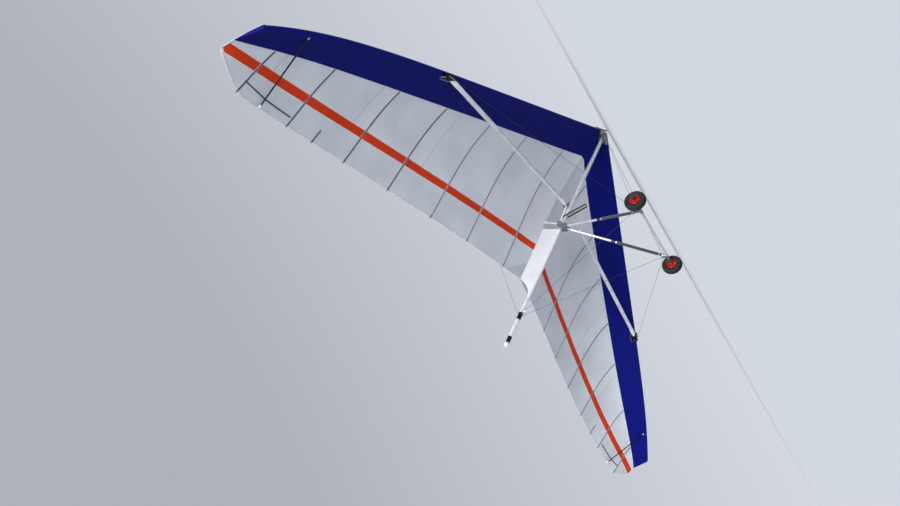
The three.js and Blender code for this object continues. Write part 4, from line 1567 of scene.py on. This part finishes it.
@dataclass
class Keel:
    """The keel tube with its caps, bands and nose plates."""

    radius: float = KEEL_RADIUS
    length: float = 3440.0
    tail_cap: tuple = ((3440.3, 26.0), (3441, 27.0), (3474, 27.0), (3478, 25.5), (3480, 21.0),
                       (3480, 2.0))
    clamp: tuple = ((2980, 25.3), (2980.5, 29.0), (3004, 29.0), (3005, 28.2), (3055, 28.2),
                    (3056, 29.0), (3079.5, 29.0), (3080, 25.3))
    plate_half: tuple = ((20.0, 46.0), (118.0, 92.0), (124.0, 120.0), (30.0, 178.0))
    plate_heights: tuple = (-27.8, 28.9)
    bolt_places: tuple = ((0.0, 72.0), (0.0, 148.0), (78.0, 98.0), (-78.0, 98.0))

    def build(self) -> None:
        """The tube, the black clamp and band, both caps, and the plates with their bolts."""
        dress("keel_tube_skin", pipe(ORIGIN, self.length * Y, self.radius), ANODISED, "keel_tube")
        dome = [(self.radius * (1 - math.cos(a)) - 25.3, max(self.radius * math.sin(a), 0.3))
                for a in np.linspace(0, math.pi / 2, 9)]
        for name, profile, sides, finish, node in (
                ("nose_cap", dome + [(-0.3, 24.0)], 36, SOFT_RUBBER, "keel_nose_cap"),
                ("tail_cap", self.tail_cap, 40, PALE_PLASTIC, "keel_tail_cap"),
                ("rear_stay_clamp", self.clamp, 40, BLACK_ALLOY, "rear_wire_clamp"),
                ("tail_band", hoop(3330, 3420, 25.3, 27.0), 40, BLACK_ALLOY, "keel_tail_band")):
            dress(name, turned(profile, ORIGIN, Y, sides), finish, node)
        outline = np.array(self.plate_half + tuple((-x, y) for x, y in self.plate_half[::-1]))
        plates = [plate(outline, z * Z, X, Y, 4.0) for z in self.plate_heights]
        dress("nose_plates", joined(*plates), BLASTED, "nose_plate_upper", "nose_plate_lower")
        low, high = self.plate_heights
        bolts = [hex_bolt(vec(x, y, z), sign * Z, 9.0, 5.0)
                 for x, y in self.bolt_places for z, sign in ((low - 2.0, -1), (high + 2.0, 1))]
        dress("nose_bolts", joined(*bolts), STAINLESS)


@dataclass
class ControlFrame:
    """The apex bracket, downtubes with their sleeves and tape, corner brackets and base bar.

    Plates and bands are given as in Spars, profiles as (distance, radius) pairs, and grip_ribs
    as the first rib's place, the step and the count.
    """

    apex: tuple = (30.0, 1640.0, -84.0)
    corner: tuple = (500.0, *BAR)
    tube: float = 15.0
    bar_half: float = 775.0
    sleeve_from: float = 110.0
    sleeve_length: float = 550.0
    sleeve_radius: float = 19.2
    sleeve_bulge: float = 0.7
    quilts: int = 9
    zip_outline: tuple = (7.0, 2.2, 8)
    zip_ends: tuple = (118, 652)
    zip_out: float = 19.6
    tube_from: float = 62.0
    tube_short: float = 46.0
    tapes: tuple = ((70, 106.5), (680, 742.5))
    cheek: tuple = (84.0, 90.0, 14.0)
    saddle: tuple = (84.0, 60.0, 6.0)
    tang: tuple = (32.0, 86.0, 13.0)
    collar: tuple = (44, 61, 14.0, 17.4, 1.0)
    grip_root: tuple = ((741, 15.4), (741, 22.6), (743.5, 22.6), (744, 19.6))
    grip_ribs: tuple = (746.0, 7.0, 7)
    grip_end: tuple = ((796, 19.6), (798.5, 18.8), (800, 16.5), (800, 1.0))
    knuckle: tuple = ((466, 15.4), (466.4, 18.2), (468, 19.0), (540, 19.0), (541, 17.6),
                      (643, 17.6), (644, 19.0), (657, 19.0), (658.6, 18.2), (659, 15.4))

    def line(self) -> tuple:
        """The downtube's axis: its lower end, its way up and its length."""
        low, high = vec(*self.corner), vec(*self.apex)
        return low, unit(high - low), float(np.linalg.norm(high - low))

    def build_apex(self) -> None:
        """Two cheek plates and a block under the keel, a bolt through each tube's end."""
        low, way, length = self.line()
        y = self.apex[1]
        cheeks = [plate(rounded(*self.cheek), vec(side * 44.0, y, -51.0), Y, Z, 4.0)
                  for side in (-1, 1)]
        saddle = plate(rounded(*self.saddle), vec(0, y, -59.0), X, Y, 60.0, 2.0)
        socket = rod(vec(*self.apex) + 6.0 * Z, low + way * (length - self.tube_short), 13.0)
        dress("apex_block", joined(*cheeks, saddle, socket, socket.mirrored()), BLASTED,
              "apex_bracket")
        bolts = [hex_bolt(vec(side * 46.0, y + aft, z), side * X) for side in (-1, 1)
                 for aft, z in ((0.0, -84.0), (-24.0, -24.0), (24.0, -24.0))]
        dress("apex_bolts", joined(*bolts), STAINLESS)

    def build_downtubes(self) -> None:
        """Round tubes with a padded, zipped sleeve low down, and tape below and above it."""
        low, way, length = self.line()
        tube = pipe(low + way * self.tube_from, low + way * (length - self.tube_short),
                    self.tube, 1.4, 40, 20.0)
        dress("downtube_skin_*", tube, ANODISED, "downtube_*")
        start, end = self.sleeve_from, self.sleeve_from + self.sleeve_length
        share = np.linspace(0, 1, 60)
        swell = self.sleeve_radius + self.sleeve_bulge * np.abs(
            np.sin(share * math.pi * self.quilts))
        swell = swell * np.minimum(1, np.minimum(share, 1 - share) * 28 + 0.84)
        outer = np.stack([start + self.sleeve_length * share, np.maximum(15.4, swell)], -1)
        sleeve = turned([*outer, (end, 15.3), (start, 15.3)], low, way, 36, closed=True)
        for piece in dress("downtube_padding_*", sleeve, PADDING, "downtube_sleeve_*", crease=50):
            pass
        zip_path = low + way * np.linspace(*self.zip_ends, 40)[:, None] + self.zip_out * Y
        dress("sleeve_zip_*", swept(zip_path, oval(*self.zip_outline), X), BLACK_PLASTIC,
              slot=Slot.PADDING)
        tapes = [turned(hoop(first, last, 15.1, 15.6), low, way, 36)
                 for first, last in self.tapes]
        dress("downtube_tape_*", joined(*tapes), TAPE)

    def build_corners(self) -> None:
        """A knuckle on the base bar, its stub in the downtube, and a tang for three stays."""
        low, way, _ = self.line()
        body = turned(self.knuckle, low * (Y + Z), X, 40)
        stub = rod(low, low + way * 61.0, 13.8, 32)
        collar = turned(hoop(*self.collar), low, way, 36)
        tang = plate(rounded(*self.tang), low + vec(18.0, 0, 28.0), Y, Z, 5.0)
        dress("corner_knuckle_*", joined(body, stub, collar, tang), BLASTED, "corner_bracket_*")
        bolts = (hex_bolt(low + vec(20.5, 0, 58.0), X, 9.0),
                 hex_bolt(low + vec(-12.0, 18.0, 0), Y, 8.0),
                 hex_bolt(low + way * 84.0 + 14.6 * Y, Y, 7.0, 4.0))
        dress("corner_bolts_*", joined(*bolts), STAINLESS)

    def build_base_bar(self) -> None:
        """The base bar, and the ribbed rubber plugs outside the wheels."""
        middle, end = vec(0, *BAR), self.bar_half * X
        bar = pipe(middle - end, middle + end, self.tube, 1.6, 40, 20.0)
        dress("base_bar_skin", bar, ANODISED, "basebar")
        grip = list(self.grip_root)
        first, step, count = self.grip_ribs
        for start in first + step * np.arange(count):
            grip += hoop(start, start + 5.0, 19.4, 21.0, 0.8)
        grip += self.grip_end
        dress("bar_end_grip_*", turned(grip, middle, X, 40), SOFT_RUBBER, "bar_end_plug_*",
              crease=25)

    def build(self) -> None:
        """All of the control frame."""
        self.build_apex()
        self.build_downtubes()
        self.build_corners()
        self.build_base_bar()


@dataclass
class Wheel:
    """A ribbed tyre on a red moulded rim that turns on the base bar.

    Profiles are (across, radius) pairs, and arms are (side, radius of the end, width). A
    shoulder block's halves run round, down and through the wall, and block_slope is the wall's
    slope as its shares of across and out.
    """

    centre: tuple = (700.0, *BAR)
    tyre_radius: float = 130.0
    wall: tuple = ((28.0, 62.0), (31.0, 72.0), (36.5, 80.5), (41.0, 88.0), (42.3, 95.0),
                   (42.6, 102.2), (43.5, 103.8), (43.7, 106.0), (43.3, 108.0), (42.1, 109.2),
                   (41.2, 112.5), (39.6, 116.2))
    grooves: tuple = (-22.0, -11.0, 0.0, 11.0, 22.0)
    fine_grooves: tuple = (27.5, 31.5, 35.0)
    teeth: int = 48
    zigzag: float = 1.0
    blocks: int = 80
    block_at: tuple = (40.4, 114.4)
    block_half: tuple = (3.2, 1.7, 1.0)
    block_slope: tuple = (0.4, 0.92)
    rim_half: tuple = ((-36.0, 17.0), (-36.0, 25.5), (-35.0, 26.8), (-30.0, 28.4), (-12.0, 30.0),
                       (-5.0, 33.0), (-5.0, 51.0), (-8.0, 53.0), (-26.0, 54.2), (-29.5, 55.4),
                       (-32.0, 57.6), (-32.4, 60.0), (-31.2, 61.5), (-29.0, 61.7))
    sleeve_half: tuple = ((-38.5, 15.4), (-38.5, 20.5), (-36.2, 21.5), (-36.2, 18.0))
    pockets: int = 6
    pocket_circle: float = 42.5
    pocket_radius: float = 9.0
    arms: tuple = ((0, 27.0, 5.0), (-1, 54.6, 3.6), (1, 54.6, 3.6))
    split_radius: float = 40.0
    split_turn: float = 15.0 / 360.0

    def crown(self, x: float) -> float:
        """The tread's radius: a parabola that drops 5 mm at 30, and faster past 28."""
        return self.tyre_radius - 5.0 * (x / 30.0) ** 2 - 0.0376 * max(0.0, abs(x) - 28.0) ** 2

    def tread(self) -> list:
        """The tyre's outline.

        It has a sidewall with a raised ring, the round shoulder with three fine grooves, the
        crown with five deep ones, and the other shoulder and sidewall.

        Returns:
            (across, radius, share of the zigzag) for each of its points.
        """
        rows = [(g, 1.9, 3.0, 1.0) for g in self.grooves]
        rows += [(side * g, 0.9, 1.3, 0.0) for g in self.fine_grooves for side in (-1, 1)]
        crown = []
        for middle, half, depth, share in sorted(rows):
            for place, low in ((-1, 0), (-0.5, depth), (0.5, depth), (1, 0)):
                x = middle + place * half
                crown.append((x, self.crown(x) - low, share))
        left = [(-x, radius, 0.0) for x, radius in self.wall]
        return left + crown + [(x, radius, 0.0) for x, radius in self.wall[::-1]]

    def tyre(self) -> Shape:
        """The outline carried round; the deep grooves run in a saw-tooth line.

        Returns:
            The tyre.
        """
        x, radius, share = np.array(self.tread()).T
        sides = 4 * self.teeth
        tooth = np.abs(np.arange(sides) * self.teeth / sides % 1 - 0.5) * 4 - 1
        return turned(np.stack([x, radius], -1), vec(*self.centre), X, sides, closed=True,
                      shift=share[:, None] * self.zigzag * tooth)

    def shoulder_blocks(self) -> Shape:
        """Low blocks round both shoulders: boxes laid on the shoulder's slope, 1 mm proud.

        Returns:
            The blocks.
        """
        angle = circle(self.blocks)[:, None]
        out = np.cos(angle) * Y + np.sin(angle) * Z
        round_it = np.cos(angle) * Z - np.sin(angle) * Y
        box = np.array([[0, 1, 3, 2], [4, 6, 7, 5], [0, 4, 5, 1], [2, 3, 7, 6], [0, 2, 6, 4],
                        [1, 5, 7, 3]])
        at_x, at_radius = self.block_at
        long, wide, high = self.block_half
        flat_share, steep_share = self.block_slope
        blocks = []
        for side in (-1, 1):
            across = side * X
            down = flat_share * across - steep_share * out
            normal = steep_share * across + flat_share * out
            points = np.stack([at_x * across + at_radius * out + a * long * round_it
                               + b * wide * down + c * high * normal
                               for a in (-1, 1) for b in (-1, 1) for c in (-1, 1)], 1)
            faces = box[None, :, ::side] + 8 * np.arange(self.blocks)[:, None, None]
            flat = points.reshape(-1, 3)
            blocks.append(Shape(flat + self.centre, faces.reshape(-1, 4).tolist(),
                                flat[:, :2] * MM))
        return joined(*blocks)

    def around(self, turn: float, radius: float) -> Array:
        """A point of the wheel's middle plane: a share of a turn round, and a radius out."""
        angle = TAU * turn
        return self.centre + radius * (math.cos(angle) * Y + math.sin(angle) * Z)

    def rim(self) -> Shape:
        """The rim: a barrel with wide lips, the hub, a web with six holes, and Y-shaped ribs.

        A rib on both faces runs from the hub and parts into two arms.

        Returns:
            The rim.
        """
        profile = self.rim_half + tuple((-x, radius) for x, radius in self.rim_half[::-1])
        body = turned(profile, vec(*self.centre), X, 96, closed=True)
        holes, ribs = [], []
        for i in range(self.pockets):
            hole = self.around(i / self.pockets, self.pocket_circle)
            holes.append(rod(hole - 40.0 * X, hole + 40.0 * X, self.pocket_radius, 24))
            turn = (i + 0.5) / self.pockets
            split = self.around(turn, self.split_radius)
            for side, radius, width in self.arms:
                arm = self.around(turn + side * self.split_turn, radius) - split
                path = split + arm * np.linspace(-0.04, 1.0, 6)[:, None]
                ribs.append(swept(path, rounded(width, 48.0, 1.5, 4), X))
        return joined(carved(body, *holes), *ribs)

    def build(self) -> None:
        """Both wheels: tyre, shoulder blocks, rim, ribs, black hub sleeve and bolts."""
        bodies = (Body.WHEEL_L, Body.WHEEL_R)
        dress("tyre_tread_*", self.tyre(), TYRE_RUBBER, "tyre_*", bodies=bodies, crease=28)
        dress("tyre_shoulder_*", self.shoulder_blocks(), TYRE_RUBBER, bodies=bodies)
        dress("rim_moulding_*", self.rim(), RED_PLASTIC, "rim_*", bodies=bodies, crease=30)
        profile = self.sleeve_half + tuple((-x, radius) for x, radius in self.sleeve_half[::-1])
        hub = turned(profile, vec(*self.centre), X, 40, closed=True)
        dress("hub_sleeve_*", hub, BLACK_PLASTIC, bodies=bodies)
        bolts = [hex_bolt(self.around(i / 3, self.pocket_circle) + side * 5.0 * X, side * X,
                          12.0, 7.0) for i in range(3) for side in (-1, 1)]
        dress("rim_bolts_*", joined(*bolts), STAINLESS, bodies=bodies)


@dataclass
class Rigging:
    """Kingpost, stays with their thimbles and swages, luff lines and haulback straps.

    Plates and bands are given as in Spars, and profiles as (distance, radius) pairs. The lower
    stays start from the tang over the bar's corner. The front and rear ones end on the keel, and
    the side ones under_shift away from the crossbar's junction.
    """

    wing: Wing = WING
    post_y: float = 1600.0
    post_top: float = 1350.0
    post_radius: float = 16.0
    base_plate: tuple = (66.0, 68.0, 12.0)
    seat: tuple = ((26, 12.0), (27, 17.0), (72, 17.0), (74, 15.8))
    stay: float = 1.9
    eye_back: float = 22.0
    eye_half: tuple = (13.0, 8.5)
    eye_wire: tuple = (3.6, 3.6, 8)
    tang_x: float = 518.0
    tang_rise: float = 60.0
    under_shift: tuple = (-40.0, 6.0, -66.0)
    over_rise: float = 26.0
    lower_front: tuple = (22.0, 92.0, -32.0)
    lower_rear: tuple = (22.0, 3010.0, -22.0)
    upper_front: tuple = (0.0, 92.0, 34.0)
    upper_rear: tuple = (0.0, 3020.0, 29.0)
    cap_rise: float = 21.0
    swage: tuple = ((24, 2.2), (25, 4.0), (27, 4.4), (50, 4.4), (52, 4.0), (53, 2.2))
    shrink: tuple = ((53, 2.2), (54, 3.0), (86, 2.7), (87, 2.1))
    cap: tuple = ((1350.3, 17.2), (1351, 18.6), (1355, 19.0), (1372, 19.0), (1375.5, 17.4),
                  (1377, 14.0), (1377, 1.0))
    luff_at: tuple = (400.0, 1140.0, 1800.0)
    luff_fraction: float = 0.93
    luff_ring: tuple = (-3.0, 3.0, 1.5, 6.5, 0.4)
    luff_collar: tuple = (-30, -14.5, 16.2, 18.6)
    haulback: tuple = (3.0, 20.0, 1.2, 4)
    haulback_ends: tuple = ((30.0, 1330.0, 44.0), (27.0, 1566.0, 30.0))

    def post_at(self, height: float) -> Array:
        """A point of the kingpost's axis."""
        return vec(0, self.post_y, height)

    def eye(self, place: Array, way: Array) -> Shape:
        """A thimble eye and the long swage behind it, at the end of a stay.

        The eye is a drop-shaped loop: its half width grows with the sine of the angle and
        shrinks towards the swage.

        Args:
            place: where the stay is held.
            way: from there along the stay, of length one.
        Returns:
            The eye and swage.
        """
        side, _ = cross_axes(way)
        angle = circle(30)[:, None]
        length, width = self.eye_half
        half = width * np.sin(angle) * (1 - 0.35 * (1 - np.cos(angle)) / 2)
        path = place + way * length * (1 - np.cos(angle)) + side * half
        return joined(swept(path, oval(*self.eye_wire), np.cross(way, side), closed=True),
                      turned(self.swage, place, way, 18), turned(self.shrink, place, way, 14))

    def stay_between(self, name: str, start: Array, end: Array, node: str,
                     first_eye: bool = True) -> list:
        """A stay, dressed as a piece of its own.

        Args:
            name: the piece's name.
            start, end: where it is held.
            node: the frame's node that it stands for.
            first_eye: whether there is a thimble eye at the start too.
        Returns:
            The end fittings.
        """
        way = unit(end - start)
        first = start + way * self.eye_back if first_eye else start
        shape = rod(first, end - way * self.eye_back, self.stay, 12, 0.2)
        dress(name, shape, STAY, node)
        return [self.eye(start, way)] * first_eye + [self.eye(end, -way)]

    def upper_side_ends(self) -> tuple:
        """The upper side stay's ends: on the leading edge and at the kingpost's cap."""
        return (self.wing.axis(JUNCTION_X) + self.over_rise * Z,
                self.post_at(self.post_top + self.cap_rise))

    def upper_front_ends(self) -> tuple:
        """The upper front stay's ends: at the nose plate and at the kingpost's cap."""
        return vec(*self.upper_front), self.post_at(self.post_top + self.cap_rise)

    def build_stays(self) -> None:
        """The stays of both sides, then the two in the middle, and their end fittings."""
        tang = vec(self.tang_x, *BAR) + self.tang_rise * Z
        under = self.wing.axis(JUNCTION_X) + vec(*self.under_shift)
        over, cap = self.upper_side_ends()
        ends = []
        for name, start, end in (("lower_front", tang, vec(*self.lower_front)),
                                 ("lower_rear", tang, vec(*self.lower_rear)),
                                 ("lower_side", tang, under), ("upper_side", over, cap)):
            half, which = name.split("_")
            ends += self.stay_between(f"stay_{name}_*", start, end, f"{half}_wire_{which}_*",
                                      half == "lower")
        dress("stay_ends_*", joined(*ends), STAINLESS)
        ends = self.stay_between("stay_upper_front", *self.upper_front_ends(),
                                 "upper_wire_front")
        ends += self.stay_between("stay_upper_rear", vec(*self.upper_rear), cap,
                                  "upper_wire_rear")
        dress("stay_ends_middle", joined(*ends), STAINLESS)

    def build_kingpost(self) -> None:
        """The post on its base fitting, the cap, and the fitting's bolts."""
        post = pipe(self.post_at(74.3), self.post_at(self.post_top), self.post_radius, 1.4, 36)
        dress("kingpost_skin", post, ANODISED, "kingpost")
        base = [plate(rounded(*self.base_plate), self.post_at(39.0) + side * 21.0 * X, Y, Z, 5.0)
                for side in (-1, 1)]
        seat = turned(self.seat, self.post_at(0), Z, 32)
        dress("kingpost_fitting", joined(*base, seat), BLASTED, "kingpost_base")
        dress("kingpost_top", turned(self.cap, self.post_at(0), Z, 36), BLACK_ALLOY,
              "kingpost_cap")
        bolts = [hex_bolt(self.post_at(z) + side * 23.5 * X, side * X, 9.0)
                 for side in (-1, 1) for z in (56.0, 14.0)]
        dress("kingpost_bolts", joined(*bolts), STAINLESS)

    def build_luff_lines(self) -> None:
        """Thin cords from the kingpost's top to a ring on three battens of each wing."""
        top = self.post_at(self.post_top - 22.0)
        lines, rings = [], []
        for x in self.luff_at:
            normal = self.wing.normal(vec(x), vec(self.luff_fraction))[0]
            foot = self.wing.surface(x, self.luff_fraction) + normal * 6.0
            lines.append(rod(top + unit(foot - top) * 16.0, foot, 1.1, 8, 0.2))
            rings.append(turned(hoop(*self.luff_ring), foot, normal, 16))
        dress("luff_lines_*", joined(*lines), CORD)
        dress("luff_rings_*", joined(*rings), STAINLESS)
        collar = turned(hoop(*self.luff_collar), self.post_at(self.post_top), Z, 32)
        dress("luff_collar", collar, BLACK_PLASTIC, slot=Slot.BLACK_ALLOY)

    def build_haulback(self) -> None:
        """Two white straps beside the keel, from the crossbar's middle to the kingpost."""
        path = np.linspace(*self.haulback_ends, 24)
        dress("haulback_strap_*", swept(path, rounded(*self.haulback), Z), WHITE_WEBBING)

    def build(self) -> None:
        """All of the rigging."""
        self.build_kingpost()
        self.build_stays()
        self.build_luff_lines()
        self.build_haulback()


@dataclass
class HangLoop:
    """The webbing loop round the keel, which hangs plumb as the glider is parked."""

    y: float = 1475.0
    high: float = 16.0
    length: float = 300.0
    half_width: float = 25.5
    thickness: float = 4.0
    width: float = 25.0
    lap: tuple = (-190.0, -60.0)

    def build(self) -> None:
        """The strap, with a sewn lap that stands proud.

        Its middle line is a tall arch over the keel and a shallow one below.
        """
        half = self.half_width + self.thickness / 2
        angle = circle(120)
        over = angle < math.pi - 1e-9
        z = (np.where(over, self.high, -self.length)
             + half * np.where(over, 1.6, 0.6) * np.sin(angle))
        centre = PLACE.to_row(self.y * Y) / MM
        path = half * np.cos(angle)[:, None] * X + z[:, None] * Z + centre
        strap = swept(path, rounded(self.thickness, self.width, 1.4, 4), Y, closed=True)
        lap_line = ((self.half_width + self.thickness + 0.9) * X
                    + np.linspace(*self.lap, 30)[:, None] * Z + centre)
        lap = swept(lap_line, rounded(2.2, self.width - 1.0, 1.0, 4), Y)
        whole = joined(strap, lap)
        whole.points = (whole.points * MM - PLACE.origin()) @ PLACE.turn() / MM
        dress("hang_strap", whole, WEBBING, "hang_loop", crease=50)


@dataclass
class Studio:
    """A pale floor that runs out to a pale distance, soft lights, and the photograph's view.

    Each sun is (name, way, spread in degrees, power).
    """

    floor_rings: tuple = (0.02, 3.0, 9.0, 30.0, 110.0, 400.0)
    floor_sides: int = 96
    floor_colour: str = "#C6C9CD"
    low_sky: str = "#D3D8E0"
    high_sky: str = "#AEB3BB"
    suns: tuple = (("soft_side", (0.9, -0.35, -0.25), 25.0, 3.6),
                   ("soft_top", (0.2, 0.5, -0.84), 45.0, 1.6))
    eye: tuple = (-7.95, 7.505, 0.06)
    aim: tuple = (-0.69, 0.023, 2.518)
    roll: float = 119.64
    lens: float = 32.7

    def build_floor(self) -> None:
        """A round floor, as rings that widen outwards."""
        angle = circle(self.floor_sides)[:, None]
        ring = np.cos(angle) * X + np.sin(angle) * Y
        points = vec(*self.floor_rings)[:, None, None] * ring
        faces = grid_faces(*points.shape[:2], False, True)
        mesh = bpy.data.meshes.new("studio_floor")
        mesh.from_pydata(points.reshape(-1, 3).tolist(), [], faces[:, ::-1].tolist())
        paper = Finish("studio_paper", self.floor_colour, 1.0).material()
        shader = paper.node_tree.nodes["Principled BSDF"]
        shader.inputs["Specular IOR Level"].default_value = 0.0
        mesh.materials.append(paper)
        linked("studio_floor", mesh)

    def build_lights(self) -> None:
        """A low side light for tubes and pocket, a top light through the sail, and a pale sky."""
        for name, way, spread, power in self.suns:
            lamp = bpy.data.lights.new(name, "SUN")
            lamp.angle, lamp.energy = math.radians(spread), power
            linked(name, lamp).rotation_euler = Vector(way).to_track_quat("-Z", "Y").to_euler()
        world = bpy.data.worlds.new("studio_air")
        world.use_nodes = True
        tree = world.node_tree
        way = add_node(tree, "TexCoord").outputs["Generated"]
        height = add_node(tree, "SeparateXYZ", {0: way}).outputs["Z"]
        sky = add_node(tree, "ValToRGB", {"Fac": ranged(tree, height, 0.0, 0.5, 0.0, 1.0)})
        for stop, colour in zip(sky.color_ramp.elements, (self.low_sky, self.high_sky)):
            stop.color = linear(colour)
        tree.links.new(sky.outputs[0], tree.nodes["Background"].inputs["Color"])
        bpy.context.scene.world = world

    def build_camera(self) -> None:
        """The photograph's view, from floor level: looked up at and rolled as there."""
        eye, aim = vec(*self.eye), vec(*self.aim)
        ahead = unit(aim - eye)
        level_right = unit(np.cross(ahead, Z))
        level_up = np.cross(level_right, ahead)
        turn = math.radians(self.roll)
        up = math.cos(turn) * level_up + math.sin(turn) * level_right
        matrix = np.eye(4)
        matrix[:3] = np.stack([np.cross(ahead, up), up, -ahead, eye], -1)
        data = bpy.data.cameras.new("view_from_below")
        data.sensor_width, data.lens, data.clip_end = 36.0, self.lens, 400.0
        camera = linked("view_from_below", data)
        camera.matrix_world = Matrix(matrix.tolist())
        bpy.context.scene.camera = camera

    def build(self) -> None:
        """The whole studio."""
        self.build_camera()
        self.build_floor()
        self.build_lights()
        bpy.context.scene.view_settings.view_transform = "Standard"


def write_sizes() -> None:
    """Updates the view layer."""
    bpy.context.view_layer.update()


def main() -> None:
    """Builds the studio and the glider's sub-assemblies in order."""
    logging.basicConfig(level=logging.INFO, format="%(name)s: %(message)s")
    for assembly in (Studio(), Keel(), Spars(), ControlFrame(), Wheel(), Rigging(), HangLoop(),
                     Sail()):
        LOG.info("building %s", type(assembly).__name__)
        assembly.build()
    write_sizes()


if __name__ == "__main__":
    main()
